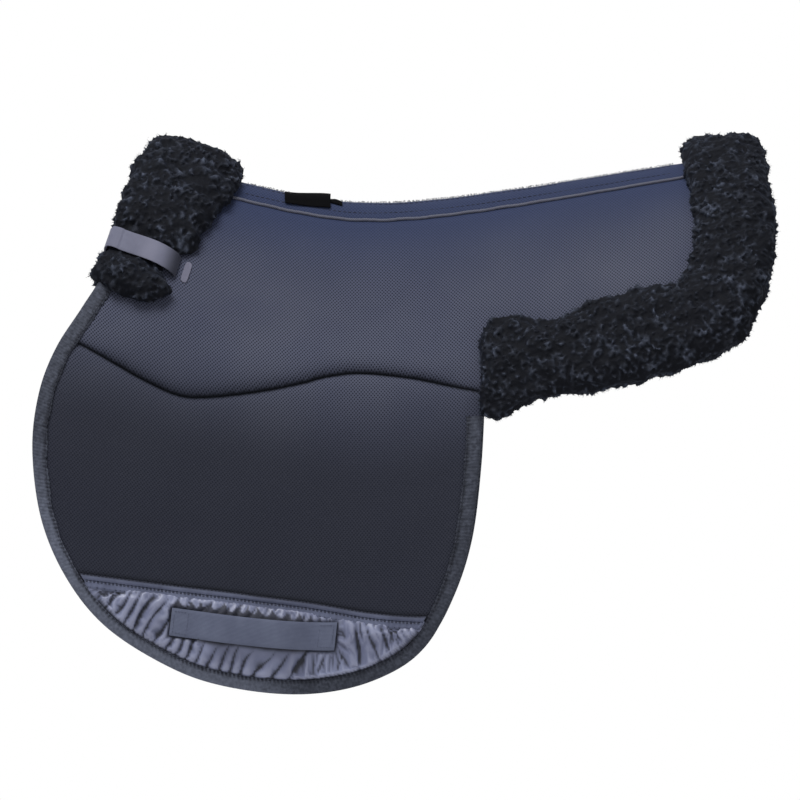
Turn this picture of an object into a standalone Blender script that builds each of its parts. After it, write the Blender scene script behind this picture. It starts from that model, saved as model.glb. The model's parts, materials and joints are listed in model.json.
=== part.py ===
"""A half-lined sheepskin saddle pad for close-contact and jumping saddles, as it hangs over a back.

Metres, +Z up. The horse faces -X, so the left half is at -Y. The origin is on the underside of the spine
strip, at its lowest point. Every cloth layer is cut from one flat pattern of half the pad, whose
coordinates are x along the spine and s down from it, and is laid over the same draped surface at a depth h.
"""

import math

import bmesh
import bpy
import numpy as np
from mathutils import Vector
from mathutils.geometry import delaunay_2d_cdt

for old in list(bpy.data.objects):
    bpy.data.objects.remove(old)

# The drape: a tight arc at the spine, a wide arc down the flank, then a straight fall
RIDGE_ARC = 0.018
RIDGE_SLOPE = math.radians(46)
FLANK_END = 0.400
REAR_SPREAD = math.radians(8)
SPREAD_START = -0.020
SPREAD_END = 0.360

# The dip of the spine line, a smooth bend between two straight rises
SPINE_BEND = 0.090
FRONT_RISE = 0.30
REAR_RISE = 0.17

# Edge of half the pad on the flat pattern, front of the spine to the corner behind the flap
FLAP_EDGE = (
    (-0.214, 0.000),
    (-0.226, 0.030),
    (-0.240, 0.072),
    (-0.251, 0.115),
    (-0.265, 0.165),
    (-0.287, 0.212),
    (-0.312, 0.262),
    (-0.328, 0.312),
    (-0.334, 0.370),
    (-0.325, 0.436),
    (-0.300, 0.487),
    (-0.262, 0.523),
    (-0.205, 0.543),
    (-0.150, 0.548),
    (-0.070, 0.538),
    (0.010, 0.514),
    (0.050, 0.490),
    (0.076, 0.448),
    (0.093, 0.395),
    (0.104, 0.325),
    (0.111, 0.256),
)
# And on from that corner, under the seat and up to the rear of the spine
SEAT_EDGE = (
    (0.111, 0.256),
    (0.170, 0.257),
    (0.235, 0.261),
    (0.290, 0.262),
    (0.338, 0.250),
    (0.373, 0.221),
    (0.391, 0.178),
    (0.397, 0.125),
    (0.394, 0.065),
    (0.388, 0.000),
)
# The quilted seam between seat and flap; both ends run off the pattern
QUILT_SEAM = (
    (-0.326, 0.243),
    (-0.293, 0.248),
    (-0.254, 0.259),
    (-0.226, 0.267),
    (-0.190, 0.273),
    (-0.159, 0.266),
    (-0.114, 0.249),
    (-0.071, 0.231),
    (-0.041, 0.218),
    (-0.007, 0.212),
    (0.041, 0.220),
    (0.085, 0.236),
    (0.122, 0.252),
    (0.146, 0.270),
)
# Top of the gathered wear patch, also run off the pattern
HEM_LINE = (
    (-0.345, 0.491),
    (-0.294, 0.480),
    (-0.197, 0.465),
    (-0.120, 0.4545),
    (-0.040, 0.450),
    (0.059, 0.4635),
    (0.110, 0.470),
)

# Cloth and filling, as thicknesses
CLOTH = 0.0016
LOFT = 0.0034
SEAT_PUFF = 0.0045
FLAP_PUFF = 0.0025
PUFF_WIDTH = 0.060
PUFF_FADE = 0.060
PUFF_REAR_END = 0.085
SEAM_WIDTH = 0.016
SEAM_ALLOWANCE = 0.004
FILLING_DEPTH = 0.0007
LINING = 0.0016
PILE = 0.0205
PILE_TAPER = 0.006
PILE_FADE = 0.030
EDGE_MARGIN = 0.015
PATCH = 0.0010
HEM_WIDTH = 0.012
HEM = 0.0012

# Folds of the gathered patch, which run down from its hem and lie flat round the girth loop
FOLD_PITCH = 0.018
FOLD_HEIGHT = 0.0032
FOLD_LEAN = 0.25
FOLD_FADE = 0.007
FOLD_STEP = 0.010
FOLD_CLEARANCE = 0.0035
FOLD_LOOP_MARGIN = 0.003
FOLD_ORIGIN = -0.240
FLAP_DEPTH = 0.550

# Clearances between neighbours
LAYER_GAP = 0.0003
FIT_GAP = 0.0006
ROLL_GAP = 0.0008
STRAP_GAP = 0.0012

# Spine strip, piping and label
STRIP_HALF_WIDTH = 0.0245
STRIP = 0.0040
SPINE_SEAM_GAP = 0.0010
PIPING_RADIUS = 0.0020
PIPING_INSET = 0.0045
LABEL_START = -0.086
LABEL_LENGTH = 0.047
LABEL_INSET = 0.006
LABEL_WIDTH = 0.014
LABEL = 0.0012

# Binding round the flap
BINDING = 0.0012
BINDING_LEG = 0.0135
BINDING_END_GAP = 0.004

# Rolled sheepskin edges
ROLL_OVERHANG = 0.012
ROLL_INNER_LEG = 0.0142
FRONT_ROLL_CROWN = 0.022
REAR_ROLL_CROWN = 0.021
FRONT_ROLL_TOP_WIDTH = 0.086
FRONT_ROLL_FOOT_WIDTH = 0.068
REAR_ROLL_TOP_WIDTH = 0.076
REAR_ROLL_SIDE_WIDTH = 0.066
REAR_ROLL_SEAT_WIDTH = 0.085
FRONT_ROLL_END = 0.182
ROLL_END_ROUND = 0.014
ROLL_END_LEAN = 0.6
ROLL_SQUARE_ZONE = 0.050
ROLL_FOOT_TURNS = np.radians((35, 65))
ROLL_CREST_TURNS = np.radians((180, 155, 125, 90, 55, 28, 12))
ROLL_FULLNESS = 0.7
FRONT_END_WIDTH_SHARE = 0.78
FRONT_END_CROWN_SHARE = 0.45
REAR_END_WIDTH_SHARE = 0.92
REAR_END_CROWN_SHARE = 0.55
REAR_CORNER_X = 0.360
REAR_WIDENING = 0.120

# Billet strap over the front roll
STRAP_WIDTH = 0.025
STRAP = 0.0020
STRAP_HEIGHT = 0.1225
STRAP_REACH = 0.066
STRAP_LANDING = 0.005
STRAP_ROOT_LEG = 0.004
STRAP_FOLD_DROP = 0.0018
STRAP_FOLD_GAP = 0.0012
WAIST_CROWN = 0.40
WAIST_WIDTH_LOSS = 0.020
WAIST_FADE = 0.024
TAPE_START = 0.059
TAPE_END = 0.075
TAPE = 0.0012

# Girth loop on the wear patch
LOOP_START = (-0.198, 0.5045)
LOOP_LENGTH = 0.166
LOOP_TILT = math.radians(6.5)
LOOP_WIDTH = 0.028
LOOP = 0.0022
LOOP_TAB = 0.020
LOOP_RISE = 0.016
LOOP_HALF_RISE_SHARE = 0.45
LOOP_STANDOFF = 0.0100

# Spacing of the points that carry the curved shapes
EDGE_STEP = 0.030
SEAM_STEP = 0.028
FIELD_ROWS = (0.068, 0.100, 0.140, 0.185, 0.230, 0.285, 0.335, 0.385, 0.430)
FIELD_START = -0.360
FIELD_END = 0.420
FIELD_STEP = 0.056
FIELD_CLEARANCE = 0.016
TOP_LINE_PARTS = 16
ROLL_STEP_ABOVE_STRAP = 0.014
ROLL_STEP_BELOW_STRAP = 0.010
STRIP_SHARES = (-1, -0.6, -0.25, 0, 0.25, 0.6, 1)
PIPING_SIDES = 6
LINE_FINENESS = 0.001
HEADING_REACH = 0.004
SLOPE_PROBE = 0.0005
TINY = 1e-12
SHARP_ANGLE = math.radians(40)


def ease(value):
    value = min(1.0, max(0.0, value))
    return value * value * (3 - 2 * value)


def mix(low, high, share):
    return low + (high - low) * share


def spine_height(x):
    rise = FRONT_RISE if x < 0 else REAR_RISE
    return rise * (math.hypot(x, SPINE_BEND) - SPINE_BEND)


def fall(x, s):
    """Sideways reach and drop of the bare surface at a distance s down from the spine."""
    opening = REAR_SPREAD * ease((x - SPREAD_START) / (SPREAD_END - SPREAD_START))
    ridge_end = RIDGE_SLOPE - opening
    ridge_radius = RIDGE_ARC / ridge_end
    if s < RIDGE_ARC:
        turn = s / ridge_radius
        return ridge_radius * math.sin(turn), ridge_radius * (1 - math.cos(turn))
    flank_radius = (FLANK_END - RIDGE_ARC) / (math.pi / 2 - RIDGE_SLOPE)
    slope = ridge_end + (min(s, FLANK_END) - RIDGE_ARC) / flank_radius
    straight = max(0.0, s - FLANK_END)
    reach = ridge_radius * math.sin(ridge_end) + flank_radius * (math.sin(slope) - math.sin(ridge_end))
    drop = ridge_radius * (1 - math.cos(ridge_end)) + flank_radius * (math.cos(ridge_end) - math.cos(slope))
    return reach + straight * math.cos(slope), drop + straight * math.sin(slope)


def bare_surface(x, across):
    reach, drop = fall(x, abs(across))
    return Vector((x, math.copysign(reach, across), spine_height(x) - drop))


def drape(x, across, depth):
    """The point at a depth over the draped surface; across is s, negative on the left half."""
    along = bare_surface(x + SLOPE_PROBE, across) - bare_surface(x - SLOPE_PROBE, across)
    over = bare_surface(x, across + SLOPE_PROBE) - bare_surface(x, across - SLOPE_PROBE)
    return bare_surface(x, across) + along.cross(over).normalized() * depth


class Route:
    """A smooth line through points of the pattern, measured by its length."""

    def __init__(self, points, crosses_spine_at=None):
        controls = [np.array(point) for point in points]
        first = 2 * controls[0] - controls[1]
        last = 2 * controls[-1] - controls[-2]
        if crosses_spine_at == "start":
            first = controls[1] * (1, -1)
        if crosses_spine_at == "end":
            last = controls[-2] * (1, -1)
        controls = [first, *controls, last]
        samples = []
        for before, start, end, after in zip(controls, controls[1:], controls[2:], controls[3:]):
            count = max(2, round(float(np.linalg.norm(end - start)) / LINE_FINENESS))
            for share in np.arange(count) / count:
                samples.append(
                    0.5
                    * (
                        2 * start
                        + (end - before) * share
                        + (2 * before - 5 * start + 4 * end - after) * share**2
                        + (3 * start - before - 3 * end + after) * share**3
                    )
                )
        self.samples = np.array([*samples, controls[-2]])
        steps = np.linalg.norm(np.diff(self.samples, axis=0), axis=1)
        self.lengths = np.concatenate([[0.0], np.cumsum(steps)])
        self.length = float(self.lengths[-1])

    def at(self, travel):
        return np.array([np.interp(travel, self.lengths, self.samples[:, axis]) for axis in (0, 1)])

    def inward(self, travel):
        """Unit vector off the line towards the middle of the pattern."""
        step = self.at(min(travel + HEADING_REACH, self.length)) - self.at(max(travel - HEADING_REACH, 0.0))
        return np.array((step[1], -step[0])) / np.linalg.norm(step)

    def travel_to(self, value, axis=1):
        """Length from the start of the line to its first point past a value of x or s."""
        crossing = np.flatnonzero(np.diff(np.sign(self.samples[:, axis] - value)))
        return float(self.lengths[crossing[0] + 1])

    def stations(self, start, end, step):
        count = max(1, math.ceil((end - start) / step))
        return [mix(start, end, share / count) for share in range(count + 1)]


flap_edge = Route(FLAP_EDGE, crosses_spine_at="start")
seat_edge = Route(SEAT_EDGE, crosses_spine_at="end")
quilt_seam = Route(QUILT_SEAM)
PANEL_TOP = STRIP_HALF_WIDTH + SPINE_SEAM_GAP
flap_start = flap_edge.travel_to(PANEL_TOP)
seat_end = seat_edge.length - Route(SEAT_EDGE[::-1], "start").travel_to(PANEL_TOP)


def square_at_spine(route, travel, towards):
    """Inward vector of a rolled edge, which runs along the spine where the roll crosses it."""
    near = 1 - ease((route.at(travel)[1] - PANEL_TOP) / ROLL_SQUARE_ZONE)
    inward = route.inward(travel) * (1 - near) + np.array((towards, 0.0)) * near
    return inward / np.linalg.norm(inward)


def offset_ring(ring, distance):
    """The closed outline moved inwards by a distance, with mitred corners."""
    moved = []
    for before, here, after in zip(ring[-1:] + ring[:-1], ring, ring[1:] + ring[:1]):
        normals = []
        for step in (here - before, after - here):
            normals.append(np.array((step[1], -step[0])) / np.linalg.norm(step))
        mitre = normals[0] + normals[1]
        moved.append(here + mitre * distance / (1 + float(normals[0] @ normals[1])))
    return moved


def inside(ring, point):
    x, s = point
    odd = False
    for (x0, s0), (x1, s1) in zip(ring, ring[1:] + ring[:1]):
        if (s0 > s) != (s1 > s) and x < x0 + (s - s0) / (s1 - s0) * (x1 - x0):
            odd = not odd
    return odd


def distance_to(line, point, closed=False):
    """Distance of a point from a line, which may be a single point."""
    starts = np.array(line)
    ends = np.array(line[1:] + line[:1])
    if len(line) > 1 and not closed:
        starts, ends = starts[:-1], ends[:-1]
    spans = ends - starts
    shares = np.clip(((point - starts) * spans).sum(1) / np.maximum((spans**2).sum(1), TINY), 0, 1)
    return float(np.linalg.norm(starts + spans * shares[:, None] - point, axis=1).min())


def height_on(line, x):
    """The s of a pattern line at x, for a line that runs from front to rear."""
    line = np.array(line)
    return float(np.interp(x, line[:, 0], line[:, 1]))


# The flat pattern: every seam and border is a line of it, so that the layers nest
flap_travels = flap_edge.stations(flap_start, flap_edge.length, EDGE_STEP)
seat_travels = seat_edge.stations(0.0, seat_end, EDGE_STEP)
outline = [flap_edge.at(travel) for travel in flap_travels]
outline += [seat_edge.at(travel) for travel in seat_travels[1:]]
top_shares = np.arange(1, TOP_LINE_PARTS) / TOP_LINE_PARTS
outline += [outline[-1] + (outline[0] - outline[-1]) * share for share in top_shares]
field_edge = offset_ring(outline, EDGE_MARGIN)


def beside_seam(distance):
    travels = quilt_seam.stations(0.0, quilt_seam.length, SEAM_STEP)
    return [quilt_seam.at(travel) + quilt_seam.inward(travel) * distance for travel in travels]


def between(travels, start, end):
    """The outline's own places from start to end, so that what hugs the edge has the same corners."""
    kept = [travel for travel in travels if start + EDGE_STEP / 5 < travel < end - EDGE_STEP / 5]
    return [start, *kept, end]


seam_line = beside_seam(0.0)
seat_side = beside_seam(SEAM_ALLOWANCE)
flap_side = beside_seam(-SEAM_ALLOWANCE)
hem_route = Route(HEM_LINE)
hem_top = [hem_route.at(travel) for travel in hem_route.stations(0.0, hem_route.length, EDGE_STEP)]
hem_foot = [point + np.array((0.0, HEM_WIDTH)) for point in hem_top]
loop_forward = np.array((math.cos(LOOP_TILT), -math.sin(LOOP_TILT)))
loop_down = np.array((math.sin(LOOP_TILT), math.cos(LOOP_TILT)))
loop_parts = math.ceil(LOOP_LENGTH / EDGE_STEP)


def beside_loop(share, half):
    """A place on the rim of the flat ground round the girth loop."""
    along = mix(-FOLD_LOOP_MARGIN, LOOP_LENGTH + FOLD_LOOP_MARGIN, share)
    across = half * (LOOP_WIDTH / 2 + FOLD_LOOP_MARGIN)
    return np.array(LOOP_START) + loop_forward * along + loop_down * across


loop_ground = [beside_loop(share / loop_parts, -1) for share in range(loop_parts + 1)]
loop_ground += [beside_loop(share / loop_parts, 1) for share in range(loop_parts, -1, -1)]


def fold_room(point):
    """Distance of a place on the patch from its hem, its outer edge and the ground kept for the girth."""
    if not inside(field_edge, point) or inside(loop_ground, point):
        return 0.0
    to_hem = point[1] - height_on(hem_foot, point[0])
    to_loop = distance_to(loop_ground, point, closed=True)
    return max(0.0, min(to_hem, to_loop, distance_to(field_edge, point, closed=True)))


def fold_lines():
    """Crests and hollows of the patch's folds in turn, each line at one value of x + lean * s."""
    hem_middle = HEM_LINE[len(HEM_LINE) // 2][1]
    lines = []
    for number in range(math.ceil((FIELD_END - FOLD_ORIGIN) / (FOLD_PITCH / 2))):
        level = FOLD_ORIGIN + number * FOLD_PITCH / 2
        top = height_on(hem_foot, level - FOLD_LEAN * hem_middle) + FOLD_CLEARANCE
        drops = np.arange(top, FLAP_DEPTH, FOLD_STEP)
        line = [np.array((level - FOLD_LEAN * s, s)) for s in drops]
        lines.append([point for point in line if fold_room(point) > FOLD_CLEARANCE])
    return [line for line in lines if line]


def fold_height(point):
    phase = (point[0] + FOLD_LEAN * point[1] - FOLD_ORIGIN) / FOLD_PITCH
    crest = 0.5 + 0.5 * math.cos(2 * math.pi * phase)
    return FOLD_HEIGHT * crest * ease(fold_room(point) / FOLD_FADE)


def cut_pattern():
    """Points and triangles of the flat pattern."""
    points = []
    edges = []
    for line, closed in (
        (outline, True),
        (field_edge, True),
        (seam_line, False),
        (seat_side, False),
        (flap_side, False),
        (hem_top, False),
        (hem_foot, False),
        (loop_ground, True),
    ):
        first = len(points)
        points += line
        edges += [(index, index + 1) for index in range(first, len(points) - 1)]
        if closed:
            edges.append((len(points) - 1, first))
    lines = [outline + outline[:1], field_edge + field_edge[:1], seam_line, hem_top, hem_foot, loop_ground]
    for line in fold_lines():
        first = len(points)
        points += line
        edges += [(index, index + 1) for index in range(first, len(points) - 1)]
        lines.append(line)
    rows = [beside_seam(PUFF_WIDTH * share) for share in (-1.0, -0.5, 0.5, 1.0)]
    for row, s in enumerate(FIELD_ROWS):
        start = FIELD_START + FIELD_STEP * (row % 2) / 2
        rows.append([np.array((x, s)) for x in np.arange(start, FIELD_END, FIELD_STEP)])
    for row in rows:
        kept = [point for point in row
                if inside(field_edge, point)
                and min(distance_to(line, point) for line in lines) > FIELD_CLEARANCE]
        points += kept
        if kept:
            lines.append(kept)
    flat = [Vector((float(x), float(s))) for x, s in points]
    found = delaunay_2d_cdt(flat, edges, [], 0, 1e-5)
    corners = [np.array((point.x, point.y)) for point in found[0]]
    triangles = [face for face in found[2]
                 if inside(outline, sum(corners[index] for index in face) / 3)]
    return corners, triangles


pattern, pattern_faces = cut_pattern()


def region(test):
    chosen = []
    for face in pattern_faces:
        centre = sum(pattern[index] for index in face) / 3
        if test(centre):
            chosen.append(face)
    return chosen


def in_field(point):
    return inside(field_edge, point)


def in_seat(point):
    return in_field(point) and point[1] < height_on(seat_side, point[0])


def in_flap(point):
    return in_field(point) and point[1] > height_on(flap_side, point[0])


def in_patch(point):
    return in_field(point) and point[1] > height_on(hem_top, point[0])


def in_hem(point):
    return in_patch(point) and point[1] < height_on(hem_foot, point[0])


def quilt_loft(point):
    """Rise of the cover over its bound edge: none at the edge and the seam, puffed beside the seam."""
    to_seam = distance_to(seam_line, point)
    to_edge = distance_to(outline, point, closed=True)
    flat = LOFT * min(1.0, to_edge / EDGE_MARGIN) * ease(to_seam / SEAM_WIDTH)
    puff = SEAT_PUFF if point[1] < height_on(seam_line, point[0]) else FLAP_PUFF
    puff *= math.sin(math.pi * min(1.0, to_seam / PUFF_WIDTH)) ** 2
    puff *= ease((to_edge - EDGE_MARGIN) / PUFF_FADE) * ease((PUFF_REAR_END - point[0]) / PUFF_FADE)
    return flat + puff


lofts = [quilt_loft(point) for point in pattern]
folds = [fold_height(point) for point in pattern]


def pile_depth(point):
    to_border = min(distance_to(field_edge, point, closed=True), distance_to(seat_side, point))
    return PILE - PILE_TAPER * (1 - ease(to_border / PILE_FADE))


def material(name, colour, roughness, metallic=0.0):
    made = bpy.data.materials.new(name)
    made.use_nodes = True
    shader = made.node_tree.nodes["Principled BSDF"]
    shader.inputs["Base Color"].default_value = (*colour, 1.0)
    shader.inputs["Roughness"].default_value = roughness
    shader.inputs["Metallic"].default_value = metallic
    made.diffuse_color = (*colour, 1.0)
    return made


def finish(name, bm, finish_material):
    bmesh.ops.recalc_face_normals(bm, faces=bm.faces)
    mesh = bpy.data.meshes.new(name)
    bm.to_mesh(mesh)
    bm.free()
    mesh.materials.append(finish_material)
    mesh.shade_smooth()
    mesh.set_sharp_from_angle(angle=SHARP_ANGLE)
    made = bpy.data.objects.new(name, mesh)
    bpy.context.scene.collection.objects.link(made)
    return made


def layer(name, side, faces, under, top, finish_material):
    """A cloth or filling cut from faces of the pattern, raised from one depth to another."""
    bm = bmesh.new()
    number = bm.verts.layers.int.new("pattern_point")
    corners = {}
    for face in faces:
        for index in face:
            if index not in corners:
                x, s = pattern[index]
                corners[index] = bm.verts.new(drape(x, side * s, under(index)))
                corners[index][number] = index
    sheet = [bm.faces.new([corners[index] for index in face]) for face in faces]
    raised = bmesh.ops.extrude_face_region(bm, geom=sheet)["geom"]
    for corner in raised:
        if isinstance(corner, bmesh.types.BMVert):
            x, s = pattern[corner[number]]
            corner.co = drape(x, side * s, top(corner[number]))
    return finish(name, bm, finish_material)


def loft_rings(name, rings, finish_material):
    """A closed solid drawn through rings of points, each with the same count."""
    bm = bmesh.new()
    number = bm.verts.layers.int.new("ring_point")
    corners = [bm.verts.new(point) for point in rings[0]]
    for index, corner in enumerate(corners):
        corner[number] = index
    head = bm.faces.new(corners)
    for count, ring in enumerate(rings[1:]):
        grown = bmesh.ops.extrude_face_region(bm, geom=[head])["geom"]
        if count and head.is_valid:
            bmesh.ops.delete(bm, geom=[head], context="FACES_ONLY")
        head = next(part for part in grown if isinstance(part, bmesh.types.BMFace))
        for corner in head.verts:
            corner.co = ring[corner[number]]
    return finish(name, bm, finish_material)


def along_edge(route, side, travel, section, inward):
    """The ring of a section of (distance in from the edge, depth) points, at one place of an edge."""
    x, s = route.at(travel)
    return [drape(x + d * inward[0], side * (s + d * inward[1]), h) for d, h in section]


def roll_crest(width, crown):
    """The outside of a rolled edge, from the end of its inner leg round to the end of its outer leg."""
    foot = -FILLING_DEPTH - LAYER_GAP - PILE
    base = CLOTH + LOFT + ROLL_GAP
    crest = [(ROLL_INNER_LEG, foot)]
    for turn in ROLL_FOOT_TURNS:
        d = -ROLL_OVERHANG + (ROLL_INNER_LEG + ROLL_OVERHANG) * (1 - math.sin(turn))
        crest.append((d, base + (foot - base) * math.cos(turn)))
    half = (width + ROLL_OVERHANG) / 2
    for turn in ROLL_CREST_TURNS:
        d = width - half + half * math.cos(turn)
        crest.append((d, base + crown * math.sin(turn) ** ROLL_FULLNESS))
    return crest


def roll_section(width, crown):
    """A rolled edge's section: round the outside, then back over the panel and round its rim."""
    base = CLOTH + LOFT + ROLL_GAP
    return [
        *roll_crest(width, crown),
        (width, base),
        (mix(width, EDGE_MARGIN, 0.5), base),
        (EDGE_MARGIN, base),
        (-ROLL_GAP, CLOTH + ROLL_GAP),
        (-ROLL_GAP, -FIT_GAP),
        (ROLL_INNER_LEG, -FIT_GAP),
    ]


strap_travel = flap_edge.travel_to(STRAP_HEIGHT)
front_roll_end = flap_edge.travel_to(FRONT_ROLL_END)


def waist(travel):
    """1 where the strap presses the front roll, 0 away from it."""
    away = abs(travel - strap_travel) - STRAP_WIDTH / 2 - 2 * FIT_GAP
    return 1 - ease(away / WAIST_FADE)


def front_roll_size(travel):
    pressed = waist(travel)
    width = mix(FRONT_ROLL_TOP_WIDTH, FRONT_ROLL_FOOT_WIDTH, ease(travel / front_roll_end))
    width -= WAIST_WIDTH_LOSS * pressed
    crown = FRONT_ROLL_CROWN * mix(1.0, WAIST_CROWN, pressed)
    ending = ease((front_roll_end - travel) / ROLL_END_ROUND)
    return (width * mix(FRONT_END_WIDTH_SHARE, 1.0, ending),
            crown * mix(FRONT_END_CROWN_SHARE, 1.0, ending))


def rear_roll_size(travel):
    left = seat_edge.length - travel
    corner = seat_edge.length - seat_edge.travel_to(REAR_CORNER_X, axis=0)
    width = mix(REAR_ROLL_TOP_WIDTH, REAR_ROLL_SIDE_WIDTH, ease(left / corner))
    width = mix(width, REAR_ROLL_SEAT_WIDTH, ease((left - corner) / REAR_WIDENING))
    ending = ease(travel / ROLL_END_ROUND)
    return (width * mix(REAR_END_WIDTH_SHARE, 1.0, ending),
            REAR_ROLL_CROWN * mix(REAR_END_CROWN_SHARE, 1.0, ending))


def side_roll(name, side, route, stations, size, spine_end, towards, finish_material):
    """A rolled edge down one side. The ring at the spine leans back as it rises, to clear the crown piece."""
    rings = []
    for travel in stations:
        ring = []
        for d, h in roll_section(*size(travel)):
            lean = ROLL_END_LEAN * max(0.0, h) if travel == spine_end else 0.0
            place = travel + lean * (1 if spine_end == stations[0] else -1)
            inward = square_at_spine(route, place, towards)
            x, s = route.at(place)
            ring.append(drape(x + d * inward[0], side * (s + d * inward[1]), h))
        rings.append(ring)
    return loft_rings(name, rings, finish_material)


def crown_roll(name, route, size, at_end, towards, finish_material):
    """The middle of a rolled edge, which crosses the spine between the two side rolls."""
    rings = []
    for across in (-1.0, -0.5, 0.0, 0.5, 1.0):
        ring = []
        reach = abs(across) * STRIP_HALF_WIDTH
        for d, h in roll_section(*size(route.length if at_end else 0.0)):
            lean = ROLL_END_LEAN * max(0.0, h) if abs(across) == 1.0 else 0.0
            travel = reach + lean
            x, s = route.at(route.length - travel if at_end else travel)
            side = math.copysign(1.0, across)
            ring.append(drape(x + d * towards, side * s, h))
        rings.append(ring)
    return loft_rings(name, rings, finish_material)


def binding(name, side, start, end, finish_material):
    """Tape folded over the rim of the flap, one leg on the cover and one behind it."""
    leg = CLOTH + LOFT * BINDING_LEG / EDGE_MARGIN + FIT_GAP
    turn = FIT_GAP + BINDING
    section = (
        (BINDING_LEG, leg),
        (-FIT_GAP, CLOTH + FIT_GAP),
        (-FIT_GAP, -FIT_GAP),
        (BINDING_LEG, -FIT_GAP),
        (BINDING_LEG, -turn),
        (0.0, -turn),
        (-turn, 0.0),
        (-turn, CLOTH),
        (0.0, CLOTH + turn),
        (BINDING_LEG, leg + BINDING),
    )
    rings = []
    for travel in between(flap_travels, start, end):
        rings.append(along_edge(flap_edge, side, travel, section, flap_edge.inward(travel)))
    return loft_rings(name, rings, finish_material)


def offset_section(line, distance):
    """A line of (d, h) points moved to its outer side."""
    moved = []
    for index, here in enumerate(line):
        before = np.array(line[max(0, index - 1)])
        after = np.array(line[min(len(line) - 1, index + 1)])
        step = (after - before) / np.linalg.norm(after - before)
        moved.append(np.array(here) + np.array((-step[1], step[0])) * distance)
    return moved


def strap_lines():
    """The strap's inner face as (d, h) points: the stretch sewn under the edge, and the one that lifts."""
    width, crown = front_roll_size(strap_travel)
    crest = roll_crest(width, crown)
    hugging = offset_section(crest, STRAP_GAP)
    turn = 1 + len(ROLL_FOOT_TURNS)
    lying = CLOTH + LOFT + LAYER_GAP + TAPE + LAYER_GAP
    sewn = [np.array((STRAP_ROOT_LEG, hugging[0][1])), *hugging[1:turn]]
    sewn.append(hugging[turn] - (0.0, STRAP_FOLD_DROP + STRAP_FOLD_GAP))
    lifting = [hugging[turn] - (0.0, STRAP_FOLD_DROP), *hugging[turn:-1]]
    lifting += [np.array((width + STRAP_LANDING, lying)), np.array((STRAP_REACH, lying))]
    return sewn, lifting


def strap_solid(name, side, line, finish_material):
    """Webbing along a line of (d, h) points, of the strap's width along the edge."""
    outer = offset_section(line, STRAP)
    inward = flap_edge.inward(strap_travel)
    tangent = np.array((-inward[1], inward[0]))
    x, s = flap_edge.at(strap_travel)
    rings = []
    for inner_point, outer_point in zip(line, outer):
        ring = []
        for (d, h), half in (
            (inner_point, -0.5),
            (outer_point, -0.5),
            (outer_point, 0.0),
            (outer_point, 0.5),
            (inner_point, 0.5),
            (inner_point, 0.0),
        ):
            spot = np.array((x, s)) + inward * d + tangent * half * STRAP_WIDTH
            ring.append(drape(spot[0], side * spot[1], h))
        rings.append(ring)
    return loft_rings(name, rings, finish_material)


def tape(name, side, finish_material):
    """Hook tape on the cover under the strap's free end."""
    floor = CLOTH + LOFT + LAYER_GAP
    inward = flap_edge.inward(strap_travel)
    tangent = np.array((-inward[1], inward[0]))
    start = flap_edge.at(strap_travel)
    section = ((TAPE_START, floor), (TAPE_START, floor + TAPE), (TAPE_END, floor + TAPE), (TAPE_END, floor))
    rings = []
    for half in (-0.5, 0.0, 0.5):
        ring = []
        for d, h in section:
            x, s = start + tangent * half * STRAP_WIDTH + inward * d
            ring.append(drape(x, side * s, h))
        rings.append(ring)
    return loft_rings(name, rings, finish_material)


def spine_strip(finish_material):
    """The doubled strip over the spine, thinned at both ends where the crown rolls wrap it."""
    front = flap_edge.at(0.0)[0]
    rear = seat_edge.at(seat_edge.length)[0]
    count = math.ceil((rear - front) / EDGE_STEP)
    middle = [mix(front + EDGE_MARGIN, rear - EDGE_MARGIN, share / count) for share in range(count + 1)]
    rings = []
    for x in (front, *middle, rear):
        thick = CLOTH if x in (front, rear) else STRIP
        ring = [drape(x, share * STRIP_HALF_WIDTH, thick) for share in STRIP_SHARES]
        ring += [drape(x, share * STRIP_HALF_WIDTH, 0.0) for share in STRIP_SHARES[::-1]]
        rings.append(ring)
    return loft_rings("spine_strip", rings, finish_material)


def spine_label(finish_material):
    """A small blank tab on the left slope of the strip."""
    floor = STRIP + LAYER_GAP
    rings = []
    across = [LABEL_INSET + LABEL_WIDTH * share / 3 for share in range(4)]
    for share in range(5):
        x = LABEL_START + LABEL_LENGTH * share / 4
        ring = [drape(x, -s, floor + LABEL) for s in across]
        ring += [drape(x, -s, floor) for s in across[::-1]]
        rings.append(ring)
    return loft_rings("spine_label", rings, finish_material)


def piping(name, side, finish_material):
    """A cord sewn into the seam beside the spine, between the two rolls."""
    s = PANEL_TOP + PIPING_INSET
    height = CLOTH + LOFT * PIPING_INSET / EDGE_MARGIN + FIT_GAP + PIPING_RADIUS
    front = flap_edge.at(flap_start)[0] + FRONT_ROLL_TOP_WIDTH + PIPING_RADIUS
    rear = seat_edge.at(seat_end)[0] - REAR_ROLL_TOP_WIDTH - PIPING_RADIUS
    count = math.ceil((rear - front) / EDGE_STEP)
    rings = []
    for index in range(count + 1):
        x = mix(front, rear, index / count)
        ring = []
        for turn in np.arange(PIPING_SIDES) * 2 * math.pi / PIPING_SIDES:
            d, h = PIPING_RADIUS * math.cos(turn), PIPING_RADIUS * math.sin(turn)
            ring.append(drape(x, side * (s + d), height + h))
        rings.append(ring)
    return loft_rings(name, rings, finish_material)


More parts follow.
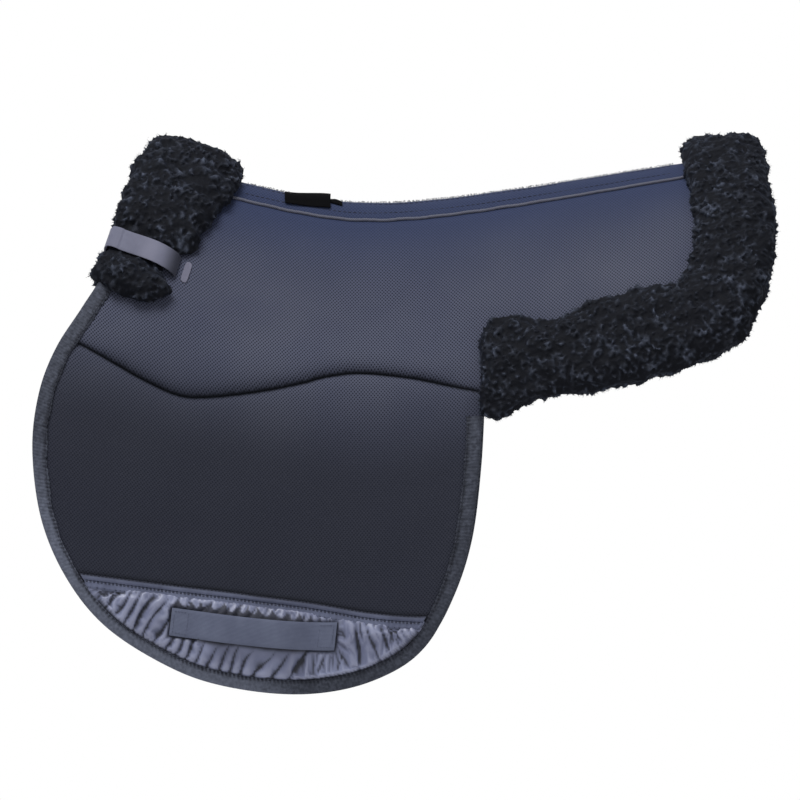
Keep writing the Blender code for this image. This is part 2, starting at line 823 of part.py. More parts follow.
def girth_loop(name, side, finish_material):
    """Webbing sewn flat at both ends and standing off the patch between, for the girth to pass behind."""
    rest = CLOTH + LOFT + LAYER_GAP + PATCH + LAYER_GAP + HEM + LAYER_GAP
    line = (
        (0.0, rest),
        (LOOP_TAB, rest),
        (LOOP_TAB + LOOP_RISE / 2, rest + LOOP_STANDOFF * LOOP_HALF_RISE_SHARE),
        (LOOP_TAB + LOOP_RISE, rest + LOOP_STANDOFF),
        (LOOP_LENGTH - LOOP_TAB - LOOP_RISE, rest + LOOP_STANDOFF),
        (LOOP_LENGTH - LOOP_TAB - LOOP_RISE / 2, rest + LOOP_STANDOFF * LOOP_HALF_RISE_SHARE),
        (LOOP_LENGTH - LOOP_TAB, rest),
        (LOOP_LENGTH, rest),
    )
    outer = offset_section(line, LOOP)
    rings = []
    for inner_point, outer_point in zip(line, outer):
        corners = ((inner_point, -0.5), (outer_point, -0.5), (outer_point, 0.5), (inner_point, 0.5))
        ring = []
        for (t, h), half in corners:
            x, s = np.array(LOOP_START) + loop_forward * t + loop_down * half * LOOP_WIDTH
            ring.append(drape(x, side * s, h))
        rings.append(ring)
    return loft_rings(name, rings, finish_material)


def build_half(name, side, cloths):
    seat = region(in_seat)
    flap = region(in_flap)
    floor = -FILLING_DEPTH
    lining_top = floor - LAYER_GAP
    patch_top = CLOTH + LAYER_GAP + PATCH
    layer(name + "_outer_cover", side, pattern_faces,
          lambda i: lofts[i], lambda i: lofts[i] + CLOTH, cloths["mesh"])
    layer(name + "_seat_felt", side, seat,
          lambda i: floor, lambda i: lofts[i] - LAYER_GAP, cloths["felt"])
    layer(name + "_flap_foam", side, flap,
          lambda i: floor, lambda i: lofts[i] - LAYER_GAP, cloths["foam"])
    layer(name + "_flap_lining", side, flap,
          lambda i: lining_top - LINING, lambda i: lining_top, cloths["lining"])
    layer(name + "_sheepskin_lining", side, seat,
          lambda i: lining_top - pile_depth(pattern[i]), lambda i: lining_top, cloths["wool"])
    layer(name + "_girth_patch", side, region(in_patch),
          lambda i: lofts[i] + CLOTH + LAYER_GAP,
          lambda i: lofts[i] + patch_top + folds[i], cloths["nylon"])
    layer(name + "_patch_hem", side, region(in_hem),
          lambda i: lofts[i] + patch_top + LAYER_GAP,
          lambda i: lofts[i] + patch_top + LAYER_GAP + HEM, cloths["nylon"])
    binding(name + "_flap_binding", side, front_roll_end + BINDING_END_GAP,
            flap_edge.length - ROLL_OVERHANG - BINDING_END_GAP, cloths["binding"])
    piping(name + "_spine_piping", side, cloths["piping"])
    girth_loop(name + "_girth_loop", side, cloths["webbing"])

    press = STRAP_WIDTH / 2 + FIT_GAP
    top_stations = flap_edge.stations(flap_start, strap_travel - press, ROLL_STEP_ABOVE_STRAP)
    foot_stations = flap_edge.stations(strap_travel + press, front_roll_end, ROLL_STEP_BELOW_STRAP)
    side_roll(name + "_front_roll", side, flap_edge, top_stations + foot_stations,
              front_roll_size, flap_start, 1, cloths["wool"])
    rear_stations = [0.0, ROLL_END_ROUND / 2, *between(seat_travels, ROLL_END_ROUND, seat_end)]
    side_roll(name + "_rear_roll", side, seat_edge, rear_stations,
              rear_roll_size, seat_end, -1, cloths["wool"])

    sewn, lifting = strap_lines()
    strap_solid(name + "_strap_root", side, sewn, cloths["webbing"])
    strap_solid(name + "_billet_strap", side, lifting, cloths["webbing"])
    tape(name + "_hook_tape", side, cloths["tape"])


def main():
    cloths = {
        "mesh": material("spacer_mesh", (0.060, 0.068, 0.120), 0.75),
        "felt": material("seat_felt", (0.35, 0.35, 0.36), 0.95),
        "foam": material("quilt_foam", (0.45, 0.45, 0.42), 0.95),
        "lining": material("cotton_lining", (0.045, 0.050, 0.075), 0.85),
        "wool": material("sheepskin_wool", (0.018, 0.020, 0.028), 0.95),
        "nylon": material("patch_nylon", (0.110, 0.118, 0.175), 0.40),
        "binding": material("binding_tape", (0.035, 0.040, 0.060), 0.60),
        "piping": material("spine_piping", (0.220, 0.220, 0.270), 0.60),
        "webbing": material("webbing", (0.105, 0.108, 0.150), 0.70),
        "tape": material("hook_tape", (0.400, 0.400, 0.430), 0.80),
        "strip": material("spine_strip", (0.025, 0.028, 0.042), 0.70),
        "label": material("blank_label", (0.010, 0.010, 0.012), 0.50),
    }
    spine_strip(cloths["strip"])
    spine_label(cloths["label"])
    crown_roll("wither_roll", flap_edge, front_roll_size, False, 1, cloths["wool"])
    crown_roll("cantle_roll", seat_edge, rear_roll_size, True, -1, cloths["wool"])
    for name, side in (("left", -1), ("right", 1)):
        build_half(name, side, cloths)


main()
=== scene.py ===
"""How the sheepskin saddle pad looks: quilted mesh cover, gathered nylon patch, webbing, binding and wool.

Cloths are laid in the coordinates of the flat pattern, x along the spine and s down from it, over the same
draped surface as the solids, at a depth over that surface. The horse faces -X; the left half is at -Y.
"""

import json
import math

import bmesh
import bpy
import numpy as np
from mathutils import Matrix, Vector
from mathutils.bvhtree import BVHTree
from mathutils.kdtree import KDTree

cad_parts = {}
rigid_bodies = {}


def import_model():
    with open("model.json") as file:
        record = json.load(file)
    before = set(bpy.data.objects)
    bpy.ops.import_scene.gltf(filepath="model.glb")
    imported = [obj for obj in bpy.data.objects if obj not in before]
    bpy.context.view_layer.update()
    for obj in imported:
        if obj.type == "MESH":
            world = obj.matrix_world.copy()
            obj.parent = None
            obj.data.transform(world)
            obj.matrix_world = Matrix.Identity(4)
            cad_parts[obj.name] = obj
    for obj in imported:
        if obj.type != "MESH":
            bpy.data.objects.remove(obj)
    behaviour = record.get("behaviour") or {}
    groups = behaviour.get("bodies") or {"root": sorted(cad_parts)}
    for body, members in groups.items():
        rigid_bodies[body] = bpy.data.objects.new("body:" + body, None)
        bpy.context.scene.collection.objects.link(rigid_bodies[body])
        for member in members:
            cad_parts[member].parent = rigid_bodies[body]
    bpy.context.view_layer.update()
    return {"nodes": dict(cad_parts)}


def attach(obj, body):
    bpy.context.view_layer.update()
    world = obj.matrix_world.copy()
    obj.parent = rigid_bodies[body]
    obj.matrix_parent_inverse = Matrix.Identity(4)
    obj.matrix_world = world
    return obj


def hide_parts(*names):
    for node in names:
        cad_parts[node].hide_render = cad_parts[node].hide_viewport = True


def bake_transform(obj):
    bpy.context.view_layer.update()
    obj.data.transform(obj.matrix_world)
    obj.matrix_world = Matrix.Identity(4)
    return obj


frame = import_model()
for leftover in ("Cube", "Light", "Camera"):
    if leftover in bpy.data.objects:
        bpy.data.objects.remove(bpy.data.objects[leftover])

# The drape, as in the solids
RIDGE_ARC = 0.018
RIDGE_SLOPE = math.radians(46)
FLANK_END = 0.400
REAR_SPREAD = math.radians(8)
SPREAD_START = -0.020
SPREAD_END = 0.360
SPINE_BEND = 0.090
FRONT_RISE = 0.30
REAR_RISE = 0.17

# Lines of the flat pattern, as in the solids
FLAP_EDGE = (
    (-0.214, 0.000), (-0.226, 0.030), (-0.240, 0.072), (-0.251, 0.115), (-0.265, 0.165), (-0.287, 0.212),
    (-0.312, 0.262), (-0.328, 0.312), (-0.334, 0.370), (-0.325, 0.436), (-0.300, 0.487), (-0.262, 0.523),
    (-0.205, 0.544), (-0.150, 0.550), (-0.070, 0.541), (0.010, 0.518), (0.053, 0.493), (0.080, 0.450),
    (0.098, 0.396), (0.107, 0.326), (0.111, 0.256),
)
SEAT_EDGE = (
    (0.111, 0.256), (0.170, 0.257), (0.235, 0.261), (0.290, 0.262), (0.338, 0.250), (0.373, 0.221),
    (0.391, 0.178), (0.397, 0.125), (0.394, 0.065), (0.388, 0.000),
)
QUILT_SEAM = (
    (-0.326, 0.243), (-0.293, 0.248), (-0.254, 0.259), (-0.226, 0.267), (-0.190, 0.273), (-0.159, 0.266),
    (-0.114, 0.249), (-0.071, 0.231), (-0.041, 0.218), (-0.007, 0.212), (0.041, 0.220), (0.085, 0.236),
    (0.122, 0.252), (0.146, 0.270),
)
HEM_LINE = (
    (-0.345, 0.491), (-0.294, 0.480), (-0.197, 0.465), (-0.120, 0.4545), (-0.040, 0.450), (0.059, 0.4635),
    (0.110, 0.470),
)

# Thicknesses and widths, as in the solids
CLOTH = 0.0016
LOFT = 0.0034
EDGE_MARGIN = 0.015
FILLING_DEPTH = 0.0007
LAYER_GAP = 0.0003
LINING = 0.0016
STRIP_HALF_WIDTH = 0.0245
STRIP = 0.0040
PANEL_TOP = 0.0255
PIPING_RADIUS = 0.0020
PIPING_INSET = 0.0045
LABEL_START = -0.088
LABEL_LENGTH = 0.047
LABEL_INSET = 0.006
LABEL_WIDTH = 0.014
LOOP_START = np.array((-0.198, 0.5015))
LOOP_LENGTH = 0.166
LOOP_FORWARD = np.array((math.cos(math.radians(7.5)), -math.sin(math.radians(7.5))))
LOOP_DOWN = np.array((-0.11, 1.0))
LOOP_WIDTH = 0.0285
LOOP = 0.0022
LOOP_TAB = 0.020
LOOP_RISE = 0.036
LOOP_STANDOFF = 0.0100
HEM_WIDTH = 0.012
ROLL_END_S = 0.182

# The front roll and the strap over it, as in the solids
PILE = 0.0205
ROLL_GAP = 0.0008
ROLL_OVERHANG = 0.012
ROLL_INNER_LEG = 0.0142
FRONT_ROLL_CROWN = 0.022
FRONT_ROLL_TOP_WIDTH = 0.086
FRONT_ROLL_FOOT_WIDTH = 0.068
ROLL_FOOT_TURNS = np.radians((35, 65))
ROLL_CREST_TURNS = np.radians((180, 155, 125, 90, 55, 28, 12))
ROLL_FULLNESS = 0.7
WAIST_CROWN = 0.40
WAIST_WIDTH_LOSS = 0.020
STRAP_WIDTH = 0.025
STRAP = 0.0020
STRAP_GAP = 0.0012
STRAP_HEIGHT = 0.1225
STRAP_REACH = 0.0600
STRAP_SAG = 0.0060
TAPE = 0.0012
HOOKS_PLACE = 0.0700
HOOKS_LENGTH = 0.0255
HOOKS_WIDTH = 0.0066

# Camera, floor and light
CAMERA_TARGET = (0.030, -0.12, -0.195)
CAMERA_AWAY = 12.0
CAMERA_TURN = math.radians(0.8)
FRAME_WIDTH = 0.800
FLOOR = -0.76
FLOOR_HALF_SIZE = 4.0
SKY_LIGHT = 0.25
LAMP_TARGET = (0.0, -0.1, -0.2)


def ease(value):
    value = np.clip(value, 0.0, 1.0)
    return value * value * (3 - 2 * value)


def mix(low, high, share):
    return low + (high - low) * share


def unit(vectors):
    return vectors / np.linalg.norm(vectors, axis=-1, keepdims=True)


def set_all(thing, **values):
    """Sets several of a thing's properties, and gives the thing back."""
    for name, value in values.items():
        setattr(thing, name, value)
    return thing


def pairs(x, s):
    """Places of the pattern, from their two coordinates."""
    return np.stack([x, s], axis=1)


# The draped surface
def fall(x, s):
    """Sideways reach and drop of the bare surface at a distance s down from the spine."""
    opening = REAR_SPREAD * ease((x - SPREAD_START) / (SPREAD_END - SPREAD_START))
    ridge_end = RIDGE_SLOPE - opening
    ridge_radius = RIDGE_ARC / ridge_end
    flank_radius = (FLANK_END - RIDGE_ARC) / (math.pi / 2 - RIDGE_SLOPE)
    turn = np.minimum(s, RIDGE_ARC) / ridge_radius
    slope = ridge_end + (np.clip(s, RIDGE_ARC, FLANK_END) - RIDGE_ARC) / flank_radius
    straight = np.maximum(0.0, s - FLANK_END)
    reach = ridge_radius * np.sin(turn) + flank_radius * (np.sin(slope) - np.sin(ridge_end))
    drop = ridge_radius * (1 - np.cos(turn)) + flank_radius * (np.cos(ridge_end) - np.cos(slope))
    return reach + straight * np.cos(slope), drop + straight * np.sin(slope)


def bare_surface(x, across):
    reach, drop = fall(x, np.abs(across))
    rise = np.where(x < 0, FRONT_RISE, REAR_RISE)
    spine = rise * (np.hypot(x, SPINE_BEND) - SPINE_BEND)
    return np.stack([x, np.sign(across) * reach, spine - drop], axis=-1)


def drape(x, across, depth):
    """Points at a depth over the draped surface; across is s, negative on the left half."""
    x, across, depth = np.broadcast_arrays(*(np.asarray(v, float) for v in (x, across, depth)))
    probe = 0.0005
    along = bare_surface(x + probe, across) - bare_surface(x - probe, across)
    over = bare_surface(x, across + probe) - bare_surface(x, across - probe)
    return bare_surface(x, across) + unit(np.cross(along, over)) * depth[..., None]


def drape_left(places, depth):
    """Points at a depth over places of the left half."""
    return drape(places[:, 0], -places[:, 1], depth)


def to_line(places, line):
    """Distance of each place from a line, its nearest point there and how far along the line that is."""
    gap = np.full(len(places), np.inf)
    nearest = np.zeros_like(places)
    travel = np.zeros(len(places))
    begun = 0.0
    for start, end in zip(line, line[1:]):
        span = end - start
        length = max(math.hypot(*span), 1e-9)
        share = np.clip((places - start) @ span / length**2, 0, 1)
        point = start + share[:, None] * span
        away = np.hypot(*(places - point).T)
        closer = away < gap
        gap[closer] = away[closer]
        nearest[closer] = point[closer]
        travel[closer] = begun + share[closer] * length
        begun += length
    return gap, nearest, travel


class Route:
    """A smooth line through points of the pattern, measured by its length."""

    def __init__(self, points, mirror_start=False, mirror_end=False):
        controls = np.array(points)
        first = controls[1] * (1, -1) if mirror_start else 2 * controls[0] - controls[1]
        last = controls[-2] * (1, -1) if mirror_end else 2 * controls[-1] - controls[-2]
        controls = np.vstack([first, controls, last])
        share = np.arange(40)[:, None] / 40
        samples = []
        for before, start, end, after in zip(controls, controls[1:], controls[2:], controls[3:]):
            samples.append(0.5 * (
                2 * start + (end - before) * share
                + (2 * before - 5 * start + 4 * end - after) * share**2
                + (3 * start - before - 3 * end + after) * share**3
            ))
        self.samples = np.vstack([*samples, controls[-2:-1]])
        steps = np.linalg.norm(np.diff(self.samples, axis=0), axis=1)
        self.lengths = np.concatenate([[0.0], np.cumsum(steps)])
        self.length = float(self.lengths[-1])

    def at(self, travel):
        return np.stack([np.interp(travel, self.lengths, self.samples[:, k]) for k in (0, 1)], axis=-1)

    def inward(self, travel):
        step = self.at(np.minimum(travel + 0.004, self.length)) - self.at(np.maximum(travel - 0.004, 0.0))
        return unit(np.stack([step[..., 1], -step[..., 0]], axis=-1))

    def inset(self, travel, distance):
        return self.at(travel) + self.inward(travel) * np.asarray(distance)[..., None]

    def nearest(self, places):
        """Distance of each place from the line, and the travel of the nearest point on it."""
        gap, _, travel = to_line(places, self.samples[::8])
        return gap, travel

    def s_at(self, x):
        return np.interp(x, self.samples[:, 0], self.samples[:, 1])

    def travel_to(self, s):
        crossing = np.flatnonzero(np.diff(np.sign(self.samples[:, 1] - s)))
        return float(self.lengths[crossing[0] + 1])


flap_edge = Route(FLAP_EDGE, mirror_start=True)
seat_edge = Route(SEAT_EDGE, mirror_end=True)
quilt_seam = Route(QUILT_SEAM)
hem_route = Route(HEM_LINE)
FLAP_START = flap_edge.travel_to(PANEL_TOP)
FRONT_ROLL_END = flap_edge.travel_to(ROLL_END_S)


def inset_outline(distance):
    """The ring of half the pad on the pattern, moved inwards."""
    flap = flap_edge.inset(np.arange(FLAP_START, flap_edge.length, 0.004), distance)
    seat = seat_edge.inset(np.arange(0.0, seat_edge.length - PANEL_TOP, 0.004), distance)
    ring = np.vstack([flap, seat])
    return ring[ring[:, 1] >= PANEL_TOP + distance - 0.001]


def part_of(ring, line, gap, below):
    """The part of a ring below or above a line of the pattern that crosses it twice."""
    offset = ring[:, 1] - line.s_at(ring[:, 0]) - gap
    kept = offset > 0 if below else offset < 0
    start = np.flatnonzero(kept & ~np.roll(kept, 1))[0]
    chain = np.roll(ring, -start, axis=0)[:kept.sum()]
    x = np.linspace(chain[-1, 0], chain[0, 0], 120)[1:-1]
    return np.vstack([chain, pairs(x, line.s_at(x) + gap)])


def ring_area(ring):
    after = np.roll(ring, -1, axis=0)
    return abs(float((ring[:, 0] * after[:, 1] - after[:, 0] * ring[:, 1]).sum())) / 2


def unevenness(places, wavelength, seed):
    """A smooth random wave over the pattern, from -1 to 1."""
    rng = np.random.default_rng(seed)
    total = np.zeros(len(places))
    for _ in range(7):
        angle, phase, stretch = rng.uniform(0, 2 * math.pi, 3)
        wave = 2 * math.pi / (wavelength * (0.7 + 0.1 * stretch))
        total += np.sin(wave * (places[:, 0] * math.cos(angle) + places[:, 1] * math.sin(angle)) + phase)
    return total / 7 * 1.6


# How far in from the pad's edge each layer ends
FELT_INSET = 0.032
LINING_INSET = 0.0128
PATCH_INSET = 0.0115
HEM_INSET = 0.0135

# The quilted seam, each pair above and below its line
GROOVE_REACH = (0.0026, 0.0050)
PUFF_REACH = (0.016, 0.030)
PUFF_HEIGHT = (0.0056, 0.0024)
GROOVE_SHARE = 1.25
PUCKER_PITCH = 0.0075


def cover_depth(places):
    """Outer face of the quilted cover: sunk at its seam and rim, puffed beside the seam, a little uneven."""
    to_seam, along = quilt_seam.nearest(places)
    to_flap, _ = flap_edge.nearest(places)
    to_seat, _ = seat_edge.nearest(places)
    to_top = places[:, 1] - PANEL_TOP
    to_edge = np.minimum(np.minimum(to_flap, to_seat), to_top)
    above = places[:, 1] < quilt_seam.s_at(places[:, 0])
    filling = np.clip(to_edge / EDGE_MARGIN, 0, 1)
    groove = 1 - GROOVE_SHARE * np.exp(-to_seam / np.where(above, *GROOVE_REACH))
    reach = to_seam / np.where(above, *PUFF_REACH)
    puff = np.where(above, *PUFF_HEIGHT) * reach * np.exp(1 - reach)
    puff *= ease((to_edge - 0.006) / 0.050) * ease((0.120 - places[:, 0]) / 0.060)
    pucker = 0.00045 * np.exp(-to_seam / 0.009) * groove * np.sin(along * 2 * math.pi / PUCKER_PITCH)
    pucker += 0.00030 * np.exp(-np.abs(to_edge - 0.018) / 0.008) * unevenness(places, 0.012, 5)
    wave = 0.0006 * unevenness(places, 0.085, 3) * ease(to_edge / 0.04)
    return CLOTH + LOFT * filling * groove + puff + pucker * filling + wave * filling


def groove_shade(places):
    """Painted shade: 1 in the sewn groove of the cover and along the hem's top, falling to 0 beside them."""
    to_seam, _ = quilt_seam.nearest(places)
    to_hem = np.abs(places[:, 1] - hem_route.s_at(places[:, 0]))
    ragged = 1 + 0.35 * unevenness(places, 0.006, 7)
    return np.maximum(np.exp(-(to_seam / (0.0021 * ragged)) ** 2), 0.8 * np.exp(-(to_hem / 0.0024) ** 2))


# Shaders
class Wire:
    """What a node gives, which Python's own signs work on."""

    def __init__(self, board, socket):
        self.board = board
        self.socket = socket

    def maths(self, operation, *others):
        return self.board.node("ShaderNodeMath", {"operation": operation}, dict(enumerate([self, *others])))

    def __add__(self, other):
        return self.maths("ADD", other)

    def __sub__(self, other):
        return self.maths("SUBTRACT", other)

    def __rsub__(self, other):
        return self.board.node("ShaderNodeMath", {"operation": "SUBTRACT"}, {0: other, 1: self})

    def __mul__(self, other):
        return self.maths("MULTIPLY", other)

    __radd__ = __add__

    def wave(self, pitch):
        """A cosine that repeats at a pitch, from -1 to 1."""
        return (self * (2 * math.pi / pitch)).maths("COSINE")

    def between(self, low, high):
        """0 below low, 1 above high, smooth between."""
        return self.board.node("ShaderNodeMapRange", {"interpolation_type": "SMOOTHSTEP"},
                               {"Value": self, "From Min": low, "From Max": high})


class Board:
    """A tree of nodes, added by type with their settings and inputs."""

    def __init__(self, tree):
        self.tree = tree

    def put(self, socket, value):
        if isinstance(value, Wire):
            self.tree.links.new(value.socket, socket)
        else:
            socket.default_value = (*value, 1.0) if socket.type == "RGBA" else value

    def node(self, kind, settings, values, output=0):
        made = set_all(self.tree.nodes.new(kind), **settings)
        for socket, value in values.items():
            self.put(made.inputs[socket], value)
        return Wire(self, made.outputs[output])


class Paint(Board):
    """A material and its Principled shader."""

    def __init__(self, name, **constants):
        self.material = bpy.data.materials.new(name)
        self.material.use_nodes = True
        super().__init__(self.material.node_tree)
        self.shader = self.tree.nodes["Principled BSDF"]
        for socket, value in constants.items():
            self.put(self.shader.inputs[socket.replace("_", " ")], value)

    def mixed(self, low, high, share):
        """Colour between two colours."""
        made = self.tree.nodes.new("ShaderNodeMix")
        made.data_type = "RGBA"
        for index, value in ((0, share), (6, low), (7, high)):
            self.put(made.inputs[index], value)
        return Wire(self, made.outputs[2])

    def split(self, place, *axes):
        """Coordinates of a place, in metres."""
        return [self.node("ShaderNodeSeparateXYZ", {}, {0: place}, axis) for axis in axes]

    def pattern_place(self):
        return self.split(self.node("ShaderNodeUVMap", {"uv_map": "pattern"}, {}), 0, 1)

    def object_place(self):
        return self.node("ShaderNodeTexCoord", {}, {}, "Object")

    def noise(self, scale, detail=2.0, roughness=0.5):
        values = {"Vector": self.object_place(), "Scale": scale, "Detail": detail, "Roughness": roughness}
        return self.node("ShaderNodeTexNoise", {}, values)

    def attribute(self, name):
        return self.node("ShaderNodeAttribute", {"attribute_name": name}, {}, 2)

    def finish(self, colour, roughness, height=None, depth=0.0005, strength=0.6):
        self.put(self.shader.inputs["Base Color"], colour)
        self.put(self.shader.inputs["Roughness"], roughness)
        if height is not None:
            values = {"Strength": strength, "Distance": depth, "Height": height}
            self.put(self.shader.inputs["Normal"], self.node("ShaderNodeBump", {}, values))
        return self.material


def mesh_cloth(name):
    """Spacer mesh: a fine lattice of dark holes between lighter threads."""
    paint = Paint(name, Specular_IOR_Level=0.12, Sheen_Weight=0.04, Sheen_Tint=(0.5, 0.55, 0.8))
    x, s = paint.pattern_place()
    lattice = x.wave(0.0034) * s.wave(0.0040)
    hole = lattice.between(-0.1, 0.7)
    tone = paint.noise(9.0, 3.0).between(0.25, 0.75)
    fibre = paint.noise(900.0, 1.0)
    thread = paint.mixed((0.070, 0.078, 0.124), (0.094, 0.102, 0.146), tone)
    # Painted light: a painted sky reflection makes the threads bluer near the spine, and painted shade
    # darkens them down the flap, which turns away from the light above
    thread = paint.mixed((0.034, 0.046, 0.100), thread, s.between(0.03, 0.14))
    thread = paint.mixed(thread, (0.022, 0.024, 0.035), s.between(0.19, 0.33) * 0.9)
    clear = s.between(0.03, 0.11) * (1.0 - s.between(0.24, 0.34) * 0.5) * 0.5 + 0.4
    colour = paint.mixed(thread, (0.010, 0.012, 0.020), hole * clear)
    colour = paint.mixed(colour, (0.16, 0.16, 0.21), fibre.between(0.60, 0.85) * 0.15)
    # Painted shade in the sewn groove and along the hem's top
    colour = paint.mixed(colour, (0.006, 0.007, 0.010), paint.attribute("crease"))
    return paint.finish(colour, 0.72 + hole * 0.15, fibre * 0.3 - hole, 0.0007, 0.5)


def felt(name, colour):
    paint = Paint(name, Specular_IOR_Level=0.2)
    fluff = paint.noise(700.0, 4.0, 0.65)
    tone = paint.mixed(tuple(0.8 * c for c in colour), tuple(1.15 * c for c in colour), fluff)
    return paint.finish(tone, 0.95, fluff, 0.0008, 0.6)


def cotton():
    """Cotton twill of the underside."""
    paint = Paint("cotton_lining", Specular_IOR_Level=0.15, Sheen_Weight=0.05)
    x, s = paint.pattern_place()
    twill = (x + s).wave(0.0016)
    cross = (x - s * 0.35).wave(0.0011)
    weave = twill * 0.6 + cross * 0.4
    colour = paint.mixed((0.020, 0.023, 0.040), (0.052, 0.057, 0.088), weave.between(-0.6, 0.6))
    worn = paint.noise(14.0, 4.0).between(0.45, 0.75)
    colour = paint.mixed(colour, (0.075, 0.080, 0.110), worn * 0.35)
    return paint.finish(colour, 0.88, weave, 0.0003, 0.5)


def nylon(name, low, high, shine, dull):
    """Thin shiny taffeta."""
    paint = Paint(name, Specular_IOR_Level=shine)
    x, s = paint.pattern_place()
    weave = x.wave(0.0009) * 0.5 + s.wave(0.0007) * 0.5
    tone = paint.noise(26.0, 3.0).between(0.3, 0.7)
    crease = paint.attribute("crease")
    # Painted highlight on the crests of the folds
    colour = paint.mixed(paint.mixed(low, high, tone), (0.40, 0.42, 0.56), paint.attribute("crest") * 0.4)
    # Painted shade in the hollows of the patch's folds, about the girth loop and along the hem's top
    colour = paint.mixed(colour, tuple(0.10 * c for c in low), crease)
    rough = crease * 0.4 + dull + paint.noise(40.0, 2.0) * 0.12
    return paint.finish(colour, rough, weave, 0.0001, 0.25)


def webbing(name, low, high, tip_shade=False):
    """Woven webbing: fine ribs along it, crossed by picks. A strap has a painted highlight where it turns
    down, before its free end, which has painted shade."""
    paint = Paint(name, Specular_IOR_Level=0.25)
    along, across = paint.pattern_place()
    ribs = across.wave(0.0013)
    picks = along.wave(0.0015)
    weave = ribs * 0.6 + picks * ribs * 0.3
    tone = paint.noise(60.0, 4.0).between(0.3, 0.7)
    colour = paint.mixed(low, high, weave.between(-0.9, 0.9) * 0.5 + tone * 0.5)
    if tip_shade:
        # Painted highlight where the strap turns down, and painted shade towards its free end
        middle = (along + 0.046).between(0.0, 0.012) * (1.0 - (along + 0.030).between(0.0, 0.010))
        colour = paint.mixed(colour, (0.25, 0.25, 0.33), middle * 0.35)
        colour = paint.mixed(colour, (0.018, 0.020, 0.032), (along + 0.023).between(0.0, 0.017) * 0.9)
    return paint.finish(colour, 0.62 + weave * 0.06, weave, 0.0003, 0.45)


def braid(name, low, high, pitch):
    """Tape or thread with a slanting twist, read from object coordinates."""
    paint = Paint(name, Specular_IOR_Level=0.2)
    x, z = paint.split(paint.object_place(), 0, 2)
    twist = (x + z).wave(pitch)
    fluff = paint.noise(900.0, 2.0)
    colour = paint.mixed(low, high, twist.between(-0.8, 0.8) * 0.6 + fluff * 0.4)
    return paint.finish(colour, 0.70, twist + fluff * 0.5, 0.0004, 0.5)


def tape():
    """Binding tape: ribbed across, mottled by wear and by its stitches, with a painted highlight along the
    bottom of the flap.
    """
    paint = Paint("binding_tape", Specular_IOR_Level=0.2)
    along, across = paint.pattern_place()
    ribs = along.wave(0.0034)
    mottle = paint.noise(260.0, 3.0, 0.55)
    patch = paint.noise(90.0, 2.0)
    height = mottle + ribs * 0.15
    worn = mottle.between(0.30, 0.70) * 0.8 + ribs * 0.08
    colour = paint.mixed((0.030, 0.034, 0.048), (0.076, 0.085, 0.115), worn)
    colour = paint.mixed(colour, (0.036, 0.041, 0.057), patch.between(0.40, 0.75) * 0.5)
    # Painted highlight: the tape is lighter along the bottom of the flap
    lower = along.between(0.36, 0.48) * (1.0 - along.between(0.70, 0.78))
    colour = paint.mixed(colour, (0.185, 0.205, 0.275), lower * (mottle * 0.7 + 0.15))
    dots = across.between(0.0268, 0.0298) * (along.wave(0.0041) * 0.22 + patch * 0.9)
    colour = paint.mixed(colour, (0.008, 0.009, 0.014), dots)
    return paint.finish(colour, 0.75, height, 0.0010, 0.7)


def wool():
    """Sheepskin wool: painted shade at the roots, and painted bluish highlights at the tips of the locks."""
    paint = Paint("sheepskin_wool", Specular_IOR_Level=0.06, Sheen_Weight=0.04, Sheen_Tint=(0.35, 0.5, 0.9))
    tip = paint.attribute("tip")
    patch = paint.noise(55.0, 3.0).between(0.36, 0.66)
    streak = paint.noise(260.0, 3.0, 0.6).between(0.35, 0.72)
    light = paint.mixed((0.028, 0.031, 0.041), (0.112, 0.131, 0.186), patch * (streak * 0.7 + 0.3))
    # Painted shade deep in the pile and painted highlight towards the tips of the locks; the patches and
    # streaks are the wool's own tone
    colour = paint.mixed((0.006, 0.0065, 0.009), light, tip.between(0.05, 0.80))
    return paint.finish(colour, 0.70, streak + paint.noise(900.0, 2.0) * 0.5, 0.0006, 0.4)


def satin():
    """Black satin of the bare tab."""
    paint = Paint("blank_label", Specular_IOR_Level=0.02)
    x, s = paint.pattern_place()
    weave = x.wave(0.0006) + s.wave(0.0006)
    colour = paint.mixed((0.0025, 0.0025, 0.003), (0.005, 0.005, 0.006), weave.between(-1.0, 1.0))
    return paint.finish(colour, 0.8, weave, 0.0001, 0.4)


def hooks():
    """Hook tape: rows of tiny bent hooks."""
    paint = Paint("hook_tape", Specular_IOR_Level=0.2)
    x, s = paint.pattern_place()
    rows = x.wave(0.0016) * s.wave(0.0013)
    colour = paint.mixed((0.15, 0.15, 0.22), (0.33, 0.33, 0.43), rows.between(-0.5, 0.6))
    return paint.finish(colour, 0.6, rows, 0.0006, 0.8)


